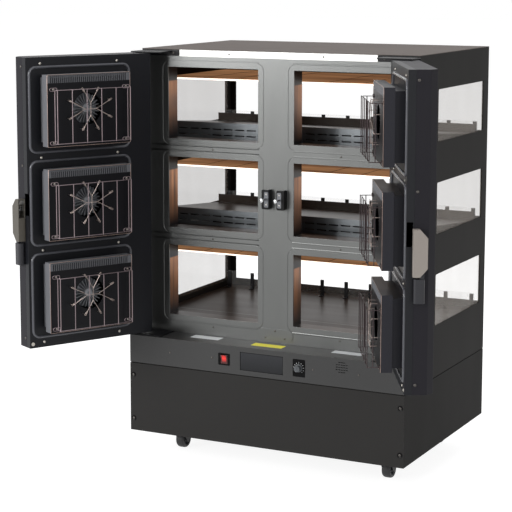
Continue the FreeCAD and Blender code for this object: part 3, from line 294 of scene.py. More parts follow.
def turned(profile, steps, axis, centre, wave=0, depth=0.0):
    """A closed shape turned about an axis from radius and height pairs, with flutes round its rim if asked."""
    shape = bmesh.new()
    rings = []
    for radius, height in profile:
        ring = []
        for step in range(steps):
            angle = 2 * math.pi * step / steps
            reach = radius * (1 + depth * math.cos(wave * angle)) if wave else radius
            ring.append(shape.verts.new((reach * math.cos(angle), reach * math.sin(angle), height)))
        rings.append(ring)
    for index, ring in enumerate(rings):
        above = rings[(index + 1) % len(rings)]
        for step in range(steps):
            ahead = (step + 1) % steps
            shape.faces.new((ring[step], ring[ahead], above[ahead], above[step]))
    bmesh.ops.remove_doubles(shape, verts=shape.verts, dist=1e-6)
    turn = Vector((0, 0, 1)).rotation_difference(Vector(axis)).to_matrix().to_4x4()
    bmesh.ops.transform(shape, matrix=Matrix.Translation(centre) @ turn, verts=shape.verts)
    return shape


def powder_coat(name, colour, gloss=0.46, shine=0.18, metal=0.0):
    """Baked paint on steel: an even colour with a fine orange peel and faint wiping marks."""
    paint = Finish(name)
    peel = paint.mottle(0.0013, 1.0)
    wiped = paint.mottle(0.16, 3.0, (1.0, 1.0, 0.35))
    cloud = paint.mottle(0.5, 1.0)
    base = paint.blend(cloud * 0.7 + peel * 0.3, tint(colour, 0.86), tint(colour, 1.14))
    return paint.coat({
        "Base Color": base, "Roughness": gloss + wiped * 0.09 - 0.045, "Specular IOR Level": shine,
        "Metallic": metal, "Normal": paint.relief(peel * 0.9 + wiped * 0.2, 0.00003),
    })


def bright_metal(name, colour, gloss=0.28, stretch=(1.0, 1.0, 1.0), grain=0.0015):
    """Bare or plated metal: brushed along one way where it is stretched, with dull and bright patches."""
    metal = Finish(name)
    brushed = metal.mottle(grain, 3.0, stretch)
    patch = metal.mottle(0.03, 2.0)
    return metal.coat({
        "Base Color": metal.blend(patch * 0.6 + brushed * 0.4, tint(colour, 0.8), tint(colour, 1.12)),
        "Metallic": 1.0, "Roughness": gloss + brushed * 0.12 - 0.03,
        "Normal": metal.relief(brushed, 0.00002),
    })


def moulded_plastic(name, colour, gloss=0.4, coat=0.0, shine=0.3):
    """Moulded plastic: an even colour, a fine spark eroded grain and a slight polish where it is touched."""
    plastic = Finish(name)
    pores = plastic.mottle(0.0006, 2.0)
    touched = plastic.mottle(0.02, 2.0)
    return plastic.coat({
        "Base Color": plastic.blend(pores * 0.5 + touched * 0.5, tint(colour, 0.85), tint(colour, 1.15)),
        "Roughness": gloss + touched * 0.1 - 0.05, "Coat Weight": coat + touched * 0.02,
        "Specular IOR Level": shine,
        "Normal": plastic.relief(pores, 0.00003),
    })


def soft_rubber(name, colour, gloss=0.55):
    """Extruded or moulded rubber: matt, with dust in its pores and a faint bloom."""
    rubber = Finish(name)
    pores = rubber.mottle(0.0009, 3.0)
    bloom = rubber.mottle(0.05, 2.0)
    return rubber.coat({
        "Base Color": rubber.blend(bloom * 0.7 + pores * 0.3, tint(colour, 0.8), tint(colour, 1.25)),
        "Roughness": gloss + bloom * 0.12 - 0.06, "Normal": rubber.relief(pores, 0.00004),
    })


caster_black = powder_coat("caster_black", "#232325", 0.38)
tyre_rubber = soft_rubber("tyre_rubber", "#1c1c1e")
core_plastic = moulded_plastic("core_plastic", "#35363a", 0.38)
zinc_plate = bright_metal("zinc_plate", "#a4a6a8", 0.34)
eased("caster_plates", zinc_plate)
for end in ("front", "rear"):
    for side in SIDES:
        eased(f"caster_fork_{end}_{side}", caster_black, 0.0008)
        wheel_node = f"caster_wheel_{end}_{side}"
        low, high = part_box(wheel_node)
        hub = (low + high) / 2
        rim = (high.z - low.z) / 2
        half = (high.x - low.x) / 2
        bore = rim / 6
        tyre = turned([(rim * 0.70, -half * 0.93), (rim * 0.78, -half), (rim * 0.88, -half), (rim * 0.96, -half * 0.8),
                       (rim, -half * 0.5), (rim, half * 0.5), (rim * 0.96, half * 0.8), (rim * 0.88, half),
                       (rim * 0.78, half), (rim * 0.70, half * 0.93)], WHEEL_STEPS, (1, 0, 0), hub)
        stand(wheel_node + "_tyre", tidy_mesh("tyre", tyre), wheel_node, tyre_rubber, [wheel_node],
              smooth=True)
        core = turned([(bore, -half * 0.8), (rim * 0.24, -half * 0.84), (rim * 0.30, -half * 0.78),
                       (rim * 0.34, -half * 0.55), (rim * 0.60, -half * 0.55), (rim * 0.64, -half * 0.84),
                       (rim * 0.699, -half * 0.9), (rim * 0.699, half * 0.9), (rim * 0.64, half * 0.84),
                       (rim * 0.60, half * 0.55), (rim * 0.34, half * 0.55), (rim * 0.30, half * 0.78),
                       (rim * 0.24, half * 0.84), (bore, half * 0.8)], WHEEL_STEPS, (1, 0, 0), hub)
        for step in range(WHEEL_RIBS):
            turn = Matrix.Translation(hub) @ Matrix.Rotation(2 * math.pi * step / WHEEL_RIBS, 4, "X")
            middle = Matrix.Translation((0, 0, rim * 0.47))
            sizes = Matrix.Diagonal((half * 1.44, rim * 0.05, rim * 0.3, 1))
            bmesh.ops.create_cube(core, size=1.0, matrix=turn @ middle @ sizes)
        stand(wheel_node + "_core", tidy_mesh("core", core), wheel_node, core_plastic, smooth=True)

# Base: a bent steel tray on the casters that holds the electrics, closed by a plain front panel.
# Four screws in dished black washers hold the panel, so that it comes off without marking the paint.
CASE_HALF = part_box("base_tray")[1].x
CASE_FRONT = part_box("lower_front_panel")[0].y
PANEL_SCREW_ROWS = (0.131, 0.283)
PANEL_SCREW_INSET = 0.013
PANEL_SCREW = 0.0045
WASHER = 0.0088
HEAD_STEPS = 28
CROSS_ARM = 0.62


def spot(across, back, up):
    """A place given from the middle of the case, the front of its base and the floor."""
    return Vector((across, CASE_FRONT + back, up))


class Pattern(Tree):
    """A geometry tree with named inputs, which ends in one plain mesh that has its finish."""

    def __init__(self, name, inputs):
        self.group = bpy.data.node_groups.new(name, "GeometryNodeTree")
        super().__init__(self.group)
        self.group.interface.new_socket("Geometry", in_out="OUTPUT", socket_type="NodeSocketGeometry")
        self.keys = {}
        for label, kind in {"Geometry": "Geometry", **inputs, "Finish": "Material"}.items():
            made = self.group.interface.new_socket(label, in_out="INPUT", socket_type="NodeSocket" + kind)
            self.keys[label] = made.identifier
        self.entry = self.group.nodes.new("NodeGroupInput")

    def given(self, label):
        return Reading(self, self.entry.outputs[label])

    def close(self, geometry):
        whole = self.node("GeometryNodeRealizeInstances", {}, {"Geometry": geometry})
        clad = self.node("GeometryNodeSetMaterial", {}, {"Geometry": whole, "Material": self.given("Finish")})
        leave = self.group.nodes.new("NodeGroupOutput")
        self.group.links.new(clad.socket, leave.inputs["Geometry"])

    def lay(self, name, base, values):
        holder = bpy.data.objects.new(name, base)
        scene.collection.objects.link(holder)
        work = holder.modifiers.new(name, "NODES")
        work.node_group = self.group
        for label, value in values.items():
            work[self.keys[label]] = value
        ready = holder.evaluated_get(bpy.context.evaluated_depsgraph_get())
        mesh = bpy.data.meshes.new_from_object(ready)
        bpy.data.objects.remove(holder)
        return mesh


def cross_head():
    """A pan head of unit radius with a cross recess, as an object that the screw pattern copies."""
    dome = tidy_mesh("dome", turned([(0, 0), (1, 0), (1, 0.16), (0.9, 0.36), (0.66, 0.49), (0.34, 0.53), (0, 0.54)],
                                    HEAD_STEPS, (0, 0, 1), (0, 0, 0)))
    cross = bmesh.new()
    for turn in (0, math.pi / 2):
        place = Matrix.Rotation(turn, 4, "Z") @ Matrix.Translation((0, 0, 0.5))
        bmesh.ops.create_cube(cross, size=1.0, matrix=place @ Matrix.Diagonal((CROSS_ARM * 2, 0.2, 0.5, 1)))
    arms = bpy.data.objects.new("arms", tidy_mesh("arms", cross))
    head = bpy.data.objects.new("head", dome)
    for item in (head, arms):
        scene.collection.objects.link(item)
    recess = head.modifiers.new("recess", "BOOLEAN")
    recess.object = arms
    recess.solver = "EXACT"
    recess.use_self = True
    mesh = bpy.data.meshes.new_from_object(head.evaluated_get(bpy.context.evaluated_depsgraph_get()))
    bpy.data.objects.remove(head)
    bpy.data.objects.remove(arms)
    return bpy.data.objects.new("cross_head", mesh)


def screw_pattern():
    tree = Pattern("set_screws", {"Head": "Object", "Seed": "Int"})
    head = tree.node("GeometryNodeObjectInfo", {}, {"Object": tree.given("Head")}, "Geometry")
    facing = tree.node("GeometryNodeInputNamedAttribute", {"data_type": "FLOAT_VECTOR"}, {"Name": "facing"})
    size = tree.node("GeometryNodeInputNamedAttribute", {"data_type": "FLOAT"}, {"Name": "size"})
    angle = tree.node("FunctionNodeRandomValue", {"data_type": "FLOAT"},
                      {"Min_001": 0.0, "Max_001": math.pi, "Seed": tree.given("Seed")}, "Value_001")
    upright = tree.node("FunctionNodeAlignRotationToVector", {"axis": "Z"}, {"Vector": facing})
    spin = tree.node("FunctionNodeAxisAngleToRotation", {}, {"Axis": (0, 0, 1), "Angle": angle})
    turn = tree.node("FunctionNodeRotateRotation", {"rotation_space": "LOCAL"},
                     {"Rotation": upright, "Rotate By": spin})
    tree.close(tree.node("GeometryNodeInstanceOnPoints", {}, {"Points": tree.given("Geometry"), "Instance": head,
                                                              "Rotation": turn, "Scale": size}))
    return tree


screw_head = cross_head()
screw_tree = screw_pattern()


def set_screws(name, body, seats, finish, replaced=(), seed=3):
    """Screws of one body, each given as its seat, the way that its head faces and the head's radius."""
    base = bpy.data.meshes.new(name)
    base.from_pydata([seat for seat, facing, size in seats], [], [])
    facings = base.attributes.new("facing", "FLOAT_VECTOR", "POINT")
    facings.data.foreach_set("vector", [part for seat, facing, size in seats for part in facing])
    sizes = base.attributes.new("size", "FLOAT", "POINT")
    sizes.data.foreach_set("value", [size for seat, facing, size in seats])
    mesh = screw_tree.lay(name, base, {"Head": screw_head, "Seed": seed, "Finish": finish})
    return stand(name, mesh, body, None, replaced, smooth=True)


charcoal_paint = powder_coat("charcoal_paint", "#201f1e", 0.44)
black_paint = powder_coat("black_paint", "#121214", 0.4)
galvanised = bright_metal("galvanised_sheet", "#8e9294", 0.4, grain=0.012)
screw_zinc = bright_metal("screw_zinc", "#b9b4ac", 0.3)
dark_screw = bright_metal("dark_screw", "#5a5754", 0.34)
eased("base_tray", powder_coat("tray_paint", "#1a1918", 0.5, 0.03), 0.0005)
eased("electrics_box", galvanised, 0.0005)
eased("lower_front_panel", charcoal_paint, 0.0008, 3)
washers = bmesh.new()
panel_screws = []
for side in SIDES.values():
    for row in PANEL_SCREW_ROWS:
        seat = spot(side * (CASE_HALF - PANEL_SCREW_INSET), 0, row)
        dish = turned([(PANEL_SCREW * 0.9, 0.0004), (PANEL_SCREW * 1.1, 0.0006), (WASHER * 0.86, 0.0017),
                       (WASHER * 0.93, 0.0018), (WASHER, 0.0008), (WASHER, 0), (PANEL_SCREW * 0.9, 0)],
                      40, (0, -1, 0), seat)
        part = bpy.data.meshes.new("dish")
        dish.to_mesh(part)
        dish.free()
        washers.from_mesh(part)
        panel_screws.append((seat + Vector((0, -0.0004, 0)), (0, -1, 0), PANEL_SCREW))
stand("panel_washers", tidy_mesh("panel_washers", washers), "root", moulded_plastic("washer_black", "#060607", 0.3, 0.0, 0.12),
      smooth=True)

# Fascia: one sheet that folds back at its top into the ledge below the doors, and carries the controls.
# The switch, the blank window and the dial plate clip into it; short slots let the sounder be heard.
CONTROL_LEVEL = 0.374
WINDOW_MIDDLE = -0.002
WINDOW_HALF = (0.0765, 0.0290)
DIAL_MIDDLE = 0.134
DIAL_FACE = 0.001
TICK_COUNT = 11
TICK_SWEEP = 280.0
TICK_RING = 0.0172
TAG_THICKNESS = 0.0003
LEDGE = 0.422
LEDGE_TAGS = {
    "ledge_tag_left": (-0.242, 0.071, 0.053, 0.020, "#d9dcde"),
    "ledge_tag_middle": (-0.004, 0.056, 0.056, 0.019, "#e6dd2a"),
    "ledge_tag_right": (0.273, 0.0775, 0.053, 0.0175, "#d5d8da"),
}


def rounded_plate(name, middle, half, radius, back, thickness, steps=6):
    """A thin plate with round corners that stands upright and faces the staff side."""
    shape = bmesh.new()
    rim = []
    for quarter, (way_x, way_z) in enumerate(((1, 1), (-1, 1), (-1, -1), (1, -1))):
        for step in range(steps + 1):
            angle = math.pi / 2 * (quarter + step / steps)
            rim.append((middle[0] + way_x * (half[0] - radius) + radius * math.cos(angle),
                        middle[1] + way_z * (half[1] - radius) + radius * math.sin(angle)))
    near = [shape.verts.new(spot(x, back - thickness, z)) for x, z in rim]
    far = [shape.verts.new(spot(x, back, z)) for x, z in rim]
    shape.faces.new(near)
    shape.faces.new(far)
    for index in range(len(rim)):
        ahead = (index + 1) % len(rim)
        shape.faces.new((near[index], near[ahead], far[ahead], far[index]))
    return tidy_mesh(name, shape)


def printed_tag(name, colour):
    """A plain self adhesive tag: an even colour under a thin satin film."""
    film = Finish(name)
    cloud = film.mottle(0.01, 2.0)
    return film.coat({"Base Color": film.blend(cloud, tint(colour, 0.92), tint(colour, 1.05)),
                      "Roughness": 0.4 + cloud * 0.1})


def window_lens():
    """A smoked window: darker along its lower edge, with a faint even grain."""
    lens = Finish("window_lens")
    rise = lens.along("Z").between(CONTROL_LEVEL - WINDOW_HALF[1], CONTROL_LEVEL + WINDOW_HALF[1])
    grain = lens.mottle(0.002, 2.0)
    return lens.coat({"Base Color": lens.blend(rise * 0.8 + grain * 0.2, tint("#1c1d1f"), tint("#2e2f32")),
                      "Roughness": 0.3 + grain * 0.1, "Specular IOR Level": 0.15})


def lit_key():
    """A translucent red key with a lamp behind its middle."""
    key = Finish("lit_key")
    off_middle = (key.along("Z") - CONTROL_LEVEL - 0.003).shaped("ABSOLUTE")
    low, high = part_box("rocker_switch")
    off_side = (key.along("X") - (low.x + high.x) / 2).shaped("ABSOLUTE") / (high.x - low.x)
    share = (1 - off_middle.between(0.0, 0.014)) * (1 - off_side.between(0.2, 0.3))
    return key.coat({"Base Color": key.blend(share, tint("#3a0504"), tint("#b01a14")), "Roughness": 0.22 + share * 0.05,
                     "Emission Color": key.blend(share, tint("#220201"), tint("#e02018")), "Emission Strength": 0.8})


fascia_paint = powder_coat("fascia_paint", "#2f2f2f", 0.4, 0.32)
gloss_black = moulded_plastic("gloss_black", "#060607", 0.26, 0.0, 0.08)
eased("control_fascia", fascia_paint, 0.0008, 3)
eased("control_plates", gloss_black, 0.0004)
eased("rocker_switch", lit_key(), 0.0008, 3)
stand("window_lens", rounded_plate("window_lens", (WINDOW_MIDDLE, CONTROL_LEVEL), WINDOW_HALF, 0.003, 0.0019, 0.0006),
      "root", window_lens())
for tag_name, (across, back, half_x, half_y, colour) in LEDGE_TAGS.items():
    tag = rounded_plate(tag_name, (across, 0), (half_x, half_y), 0.002, 0, TAG_THICKNESS)
    tag.transform(Matrix.Translation(spot(0, back, LEDGE)) @ Matrix.Rotation(-math.pi / 2, 4, "X")
                  @ Matrix.Translation((0, -CASE_FRONT, 0)))
    stand(tag_name, tag, "root", printed_tag(tag_name, colour))

tick_tree = Pattern("dial_ticks", {"Count": "Int", "Sweep": "Float", "Ring": "Float", "Length": "Float",
                                   "Width": "Float"})
tick_line = tick_tree.node("GeometryNodeMeshLine", {}, {"Count": tick_tree.given("Count"), "Offset": (0, 0, 0)})
tick_index = tick_tree.node("GeometryNodeInputIndex")
tick_share = tick_index / (tick_tree.given("Count") - 1) - 0.5
tick_angle = tick_share * tick_tree.given("Sweep")
tick_place = tick_tree.node("ShaderNodeCombineXYZ", {}, {
    "X": tick_angle.shaped("SINE") * tick_tree.given("Ring"),
    "Y": tick_angle.shaped("COSINE") * tick_tree.given("Ring")})
tick_points = tick_tree.node("GeometryNodeSetPosition", {}, {"Geometry": tick_line, "Position": tick_place})
tick_size = tick_tree.node("ShaderNodeCombineXYZ", {}, {"X": tick_tree.given("Width"),
                                                         "Y": tick_tree.given("Length"), "Z": 0.0003})
tick_bar = tick_tree.node("GeometryNodeMeshCube", {}, {"Size": tick_size}, "Mesh")
tick_turn = tick_tree.node("FunctionNodeAxisAngleToRotation", {}, {"Axis": (0, 0, -1), "Angle": tick_angle})
tick_tree.close(tick_tree.node("GeometryNodeInstanceOnPoints", {}, {"Points": tick_points, "Instance": tick_bar,
                                                                    "Rotation": tick_turn}))
tick_mesh = tick_tree.lay("dial_ticks", bpy.data.meshes.new("dial_ticks"), {
    "Count": TICK_COUNT, "Sweep": math.radians(TICK_SWEEP), "Ring": TICK_RING, "Length": 0.0036, "Width": 0.0011,
    "Finish": printed_tag("tick_print", "#c9cbcc")})
tick_mesh.transform(Matrix.Translation(spot(DIAL_MIDDLE, -DIAL_FACE - 0.00014, CONTROL_LEVEL))
                    @ Matrix.Rotation(math.pi / 2, 4, "X"))
stand("dial_ticks", tick_mesh, "root", None)

knob_low, knob_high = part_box("control_knob")
knob_reach = (knob_high.x - knob_low.x) / 2
knob_length = knob_high.y - knob_low.y
knob_grip = turned([(0, 0), (knob_reach, 0), (knob_reach, 0.0024), (knob_reach * 0.86, 0.0032)], 72, (0, -1, 0),
                   (0, 0, 0))
knob_cap = turned([(0, 0.003), (knob_reach * 0.84, 0.003), (knob_reach * 0.8, knob_length - 0.0022),
                   (knob_reach * 0.72, knob_length - 0.0012), (0, knob_length - 0.0012)], 96, (0, -1, 0), (0, 0, 0),
                  wave=16, depth=0.025)
part = bpy.data.meshes.new("part")
knob_cap.to_mesh(part)
knob_cap.free()
knob_grip.from_mesh(part)
bmesh.ops.create_cube(knob_grip, size=1.0, matrix=Matrix.Translation((0, -knob_length + 0.0008, knob_reach * 0.36))
                      @ Matrix.Diagonal((0.002, 0.0015, knob_reach * 0.72, 1)))
bmesh.ops.transform(knob_grip, matrix=Matrix.Translation((DIAL_MIDDLE, knob_high.y, CONTROL_LEVEL)),
                    verts=knob_grip.verts)
stand("knob_moulding", tidy_mesh("knob_moulding", knob_grip), "control_knob",
      moulded_plastic("knob_grey", "#4c4f52", 0.36), ["control_knob"], smooth=True)

# Front frame: one sheet with six folded sleeves, a pressed groove round each where the door seal lands.
# Long shallow ribs between the tiers stiffen it; the mullion carries a cover plate and the two strikers.
FIRST_SILL = 0.484
TIER_PITCH = 0.301
TIERS = 3
OPENING_RISE = 0.240
OPENING_INNER = 0.065
OPENING_OUTER = 0.401
FRAME_FACE = 0.100
SLEEVE_START = CASE_FRONT + 0.103
GROOVE_MIDDLE = 0.022
GROOVE_BEND = 0.027
GROOVE_DEPTH = 0.0008
# Half width and height of the black strip of painted shade in each pressed groove.
GROOVE_SHADE_HALF = 0.0009
GROOVE_SHADE_RISE = 0.0003
RIB_GAP = 0.0215
RIB_WIDTH = 0.0026
RIB_PROUD = 0.0005
POST_ACROSS = 0.025
POST_LEVEL = 0.905
STRIKER_FACE = 0.078
STRIKER_PLATE_HALF = (0.0075, 0.0255)
SILLS = [FIRST_SILL + TIER_PITCH * tier for tier in range(TIERS)]


def ring_profile(name, radius, sides):
    """A round section for bent wire, as a closed flat curve."""
    return section_curve(name, [(radius * math.cos(2 * math.pi * step / sides),
                                 radius * math.sin(2 * math.pi * step / sides)) for step in range(sides)])


def section_curve(name, points):
    line = bpy.data.curves.new(name, "CURVE")
    spline = line.splines.new("POLY")
    spline.points.add(len(points) - 1)
    for point, (x, y) in zip(spline.points, points):
        point.co = (x, y, 0, 1)
    spline.use_cyclic_u = True
    return bpy.data.objects.new(name, line)


def bend_pattern():
    """Runs of wire or bead: each corner is bent to a radius, then the section follows the run."""
    tree = Pattern("bend_and_sweep", {"Section": "Object", "Bend": "Float", "Steps": "Int"})
    section = tree.node("GeometryNodeObjectInfo", {}, {"Object": tree.given("Section")}, "Geometry")
    bent = tree.node("GeometryNodeFilletCurve", {"mode": "POLY"}, {
        "Curve": tree.given("Geometry"), "Count": tree.given("Steps"), "Radius": tree.given("Bend"),
        "Limit Radius": True})
    tree.close(tree.node("GeometryNodeCurveToMesh", {}, {"Curve": bent, "Profile Curve": section,
                                                         "Fill Caps": True}))
    return tree


bend_tree = bend_pattern()


def swept(name, runs, section, bend, finish, closed=False, steps=5):
    """The plain mesh of a section that follows straight runs with bent corners."""
    line = bpy.data.curves.new(name, "CURVE")
    line.dimensions = "3D"
    for run in runs:
        spline = line.splines.new("POLY")
        spline.points.add(len(run) - 1)
        for point, place in zip(spline.points, run):
            point.co = (*place, 1)
        spline.use_cyclic_u = closed
    mesh = bend_tree.lay(name, line, {"Section": section, "Bend": bend, "Steps": steps, "Finish": finish})
    shape = bmesh.new()
    shape.from_mesh(mesh)
    bmesh.ops.recalc_face_normals(shape, faces=shape.faces)
    shape.to_mesh(mesh)
    shape.free()
    return mesh


def painted_light_share(finish):
    """How much painted warm light a sheet takes in each tier: a copper tone that rises from the floor, and none above
    the canopy, where the sheet is left in painted shade.
    """
    rise = ((finish.along("Z") - FIRST_SILL) / TIER_PITCH).shaped("FRACT")
    return rise.between(0.02, 0.5) * (1 - rise.between(0.63, 0.645))


def painted_reflection_streaks(finish):
    """Painted reflections: upright streaks and soft blooms of warm light in bright sheet."""
    streak = finish.mottle(0.012, 3.0, (1.0, 1.0, 0.04))
    bloom = finish.mottle(0.12, 2.0)
    return (streak * 0.65 + bloom * 0.45).between(0.32, 0.72)


def frame_finish():
    """Grey metallic paint on the face; the sleeves behind it are bare and dark, with painted light below each canopy, a
    copper tone and glow for the warm light of the tier, and painted shade above it.
    """
    steel = Finish("frame_paint")
    peel = steel.mottle(0.0013, 1.0)
    wiped = steel.mottle(0.16, 3.0, (1.0, 1.0, 0.35))
    sleeve = steel.along("Y").between(SLEEVE_START, SLEEVE_START + 0.002)
    copper = steel.blend(painted_reflection_streaks(steel), tint("#3a2a22"), tint("#a06c48"))
    bare = steel.blend(painted_light_share(steel), tint("#26272a"), copper)
    face = steel.blend(wiped * 0.7 + peel * 0.3, tint("#595a59"), tint("#696a69"))
    glow = steel.blend(sleeve * painted_light_share(steel), tint("#000000"), copper)
    return steel.coat({"Base Color": steel.blend(sleeve, face, bare), "Metallic": 0.85 - sleeve * 0.35,
                       "Roughness": 0.27 + wiped * 0.09, "Emission Color": glow, "Emission Strength": 0.45,
                       "Normal": steel.relief(peel * 0.9 + wiped * 0.2, 0.00003)})


frame_paint = frame_finish()
eased("front_frame", frame_paint, 0.0005)
upright = Matrix.Rotation(math.radians(90), 4, "X")
# Painted shade: a thin black strip laid in each pressed groove stands for the shadow that falls in it.
cord_section = section_curve("cord_section", [(-GROOVE_SHADE_HALF, 0), (GROOVE_SHADE_HALF, 0), (GROOVE_SHADE_HALF, -GROOVE_SHADE_RISE),
                                              (-GROOVE_SHADE_HALF, -GROOVE_SHADE_RISE)])
groove_shade_runs = []
for side in SIDES.values():
    for sill in SILLS:
        wide = (side * (OPENING_INNER - GROOVE_MIDDLE), side * (OPENING_OUTER + GROOVE_MIDDLE))
        high = (sill - GROOVE_MIDDLE, sill + OPENING_RISE + GROOVE_MIDDLE)
        groove_shade_runs.append([(wide[0], high[0], 0), (wide[1], high[0], 0), (wide[1], high[1], 0), (wide[0], high[1], 0)])
groove_shade_mesh = swept("groove_lines", groove_shade_runs, cord_section, GROOVE_BEND, black_paint, closed=True, steps=8)
groove_shade_mesh.transform(Matrix.Translation(spot(0, FRAME_FACE + GROOVE_DEPTH, 0)) @ upright)
stand("groove_lines", groove_shade_mesh, "root", None)
rib_section = section_curve("rib_section", [(0, -RIB_WIDTH), (RIB_PROUD, -RIB_WIDTH / 2),
                                            (RIB_PROUD, RIB_WIDTH / 2), (0, RIB_WIDTH)])
ribs = []
for side in SIDES.values():
    for sill in SILLS:
        for level in (sill - RIB_GAP, sill + OPENING_RISE + RIB_GAP):
            ribs.append([spot(side * (OPENING_INNER - 0.004), FRAME_FACE, level),
                         spot(side * (CASE_HALF - 0.004), FRAME_FACE, level)])
stand("frame_ribs", swept("frame_ribs", ribs, rib_section, 0.0, frame_paint), "root", None)

striker_black = moulded_plastic("striker_black", "#0e0e0f", 0.3, 0.0, 0.15)
chrome = bright_metal("chrome_plate", "#d5d6d8", 0.12)
striker_steel = bright_metal("striker_steel", "#5d5e61", 0.34)
eased("strikers", striker_black, 0.0012, 3)
plates = bmesh.new()
plate_screws = []
for side in SIDES.values():
    middle = (side * (POST_ACROSS - 0.0015), POST_LEVEL - 0.0015)
    plates.from_mesh(rounded_plate("striker_plate", middle, STRIKER_PLATE_HALF, 0.004, STRIKER_FACE, 0.0009))
    for way in (-1, 1):
        seat = spot(middle[0], STRIKER_FACE + 0.0006, middle[1] + way * 0.017)
        plate_screws.append((seat, (0, -1, 0), 0.0034))
stand("striker_plates", tidy_mesh("striker_plates", plates), "root", striker_steel)
post_low, post_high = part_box("striker_posts")
post_reach = (post_high.x - post_low.x) / 2 - POST_ACROSS
post_run = post_high.y - post_low.y
posts = bmesh.new()
for side in SIDES.values():
    pin = turned([(0, post_run), (0.0062, post_run), (0.004, post_run - 0.0004), (0.004, 0.006),
                  (0.0048, 0.005), (post_reach, 0.0042), (post_reach, 0.0016), (post_reach * 0.72, 0.0003), (0, 0)],
                 32, (0, 1, 0), Vector((side * POST_ACROSS, post_low.y, POST_LEVEL)))
    part = bpy.data.meshes.new("part")
    pin.to_mesh(part)
    pin.free()
    posts.from_mesh(part)
stand("striker_pins", tidy_mesh("striker_pins", posts), "root", chrome, ["striker_posts"], smooth=True)

# Lining: bright sheet behind the frame, a fluted air column at each side and a post down the middle.
# The canopies over the tiers are the same sheet; each has a light bar along its staff side edge.
LAMP_PITCH = 0.04
CANOPY_SEAMS = (0.115, 0.235, 0.355)
SEAM_WIDTH = 0.0016
SEAM_PROUD = 0.0005


def lining_finish():
    """Bright sheet with painted light below each canopy, a copper tone and glow for the warm light of the tier, and
    painted shade above it.
    """
    sheet = Finish("lining_sheet")
    streaks = painted_reflection_streaks(sheet)
    copper = sheet.blend(streaks, tint("#4a2e20"), tint("#b87c54"))
    return sheet.coat({"Base Color": sheet.blend(painted_light_share(sheet), tint("#34353c"), copper), "Metallic": 0.7,
                       "Roughness": 0.26 + streaks * 0.1, "Normal": sheet.relief(streaks, 0.00004),
                       "Emission Color": sheet.blend(painted_light_share(sheet), tint("#000000"), copper),
                       "Emission Strength": 0.3})


def canopy_finish():
    """The sheet over each tier, with painted light: a copper tone and glow all over, with long soft streaks, for the
    warm light of the tier.
    """
    sheet = Finish("canopy_sheet")
    streaks = sheet.mottle(0.05, 3.0, (0.15, 1.0, 1.0))
    copper = sheet.blend(streaks.between(0.3, 0.7), tint("#7a5238"), tint("#c08c62"))
    return sheet.coat({"Base Color": copper, "Metallic": 0.5, "Roughness": 0.3 + streaks * 0.1,
                       "Normal": sheet.relief(streaks, 0.00004), "Emission Color": copper,
                       "Emission Strength": 0.55})


def lit_diffuser():
    """A milky diffuser over a row of lamps: a little brighter at each lamp."""
    diffuser = Finish("lit_diffuser")
    rows = (diffuser.along("X") * (2 * math.pi / LAMP_PITCH)).shaped("SINE")
    share = rows * 0.5 + 0.5
    return diffuser.coat({"Base Color": tint("#f4efe4"), "Roughness": 0.35 + share * 0.05,
                          "Emission Color": diffuser.blend(share, tint("#fff0dc"), tint("#fff8ee")),
                          "Emission Strength": 1.6})


lining_sheet = lining_finish()
canopy_sheet = canopy_finish()
eased("inner_lining", lining_sheet, 0.0005)
eased("light_canopies", canopy_sheet, 0.0005)
eased("light_bars", lit_diffuser(), 0.0004)
canopy_low, canopy_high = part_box("light_canopies")
seam_section = section_curve("seam_section", [(-SEAM_WIDTH, 0), (-SEAM_WIDTH / 2, -SEAM_PROUD),
                                              (SEAM_WIDTH / 2, -SEAM_PROUD), (SEAM_WIDTH, 0)])
seams = [[Vector((side * across, canopy_low.y + 0.002, canopy_high.z - TIER_PITCH * tier)),
          Vector((side * across, canopy_high.y - 0.002, canopy_high.z - TIER_PITCH * tier))]
         for side in SIDES.values() for across in CANOPY_SEAMS for tier in range(TIERS)]
stand("canopy_seams", swept("canopy_seams", seams, seam_section, 0.0, powder_coat("seam_dark", "#1a1512", 0.5)),
      "root", None)

# Decks: a glossy enamelled floor to each tier, and on the upper two a raised deck with a slotted riser.
# A clear strip stands at the customer end of each, held by black angle brackets.
RISER = CASE_FRONT + 0.270


def deck_enamel():
    """Dark enamel with slow waves in its gloss; the slotted riser at the staff side is plain grey steel."""
    enamel = Finish("deck_enamel")
    wave = enamel.mottle(0.06, 2.0, (0.3, 1.0, 1.0))
    speck = enamel.mottle(0.0015, 2.0)
    back = enamel.along("Y")
    riser = back.between(RISER - 0.001, RISER - 0.0005) * (1 - back.between(RISER + 0.0022, RISER + 0.003))
    dark = enamel.blend(speck * 0.5 + wave * 0.5, tint("#1f1a17"), tint("#332921"))
    return enamel.coat({"Base Color": enamel.blend(riser, dark, tint("#74787b")), "Metallic": riser * 0.7,
                        "Roughness": 0.24 + wave * 0.14, "Specular IOR Level": 0.1,
                        "Normal": enamel.relief(wave, 0.0002)})


def clear_sheet(name, colour, body, haze):
    """A clear pane: faint dust and wiping marks show where light catches them."""
    pane = Finish(name)
    wiped = pane.mottle(0.08, 3.0, (1.0, 1.0, 0.3))
    dust = pane.mottle(0.004, 2.0)
    return pane.coat({"Base Color": pane.blend(wiped, tint(colour, 0.9), tint(colour)),
                      "Roughness": 0.04 + wiped * 0.04, "Alpha": body + wiped * haze + dust * haze * 0.5,
                      "Specular IOR Level": 0.3})


eased("shelf_decks", deck_enamel(), 0.0005)
eased("clear_stops", clear_sheet("clear_strip", "#e4e8e8", 0.03, 0.04), 0.0004)
eased("prong_stops", black_paint, 0.0005)

# Sides and back: a sheet on each side with three windows, clear panes behind them, and the customer
# side frame, which is open at each tier so that the goods can be taken out.
side_paint = powder_coat("side_paint", "#201f1e", 0.5, 0.03)
eased("cabinet_sides", side_paint, 0.0005)
eased("side_glass", clear_sheet("window_pane", "#9a9188", 0.2, 0.05), 0.0004)
eased("rear_frame", side_paint, 0.0005)
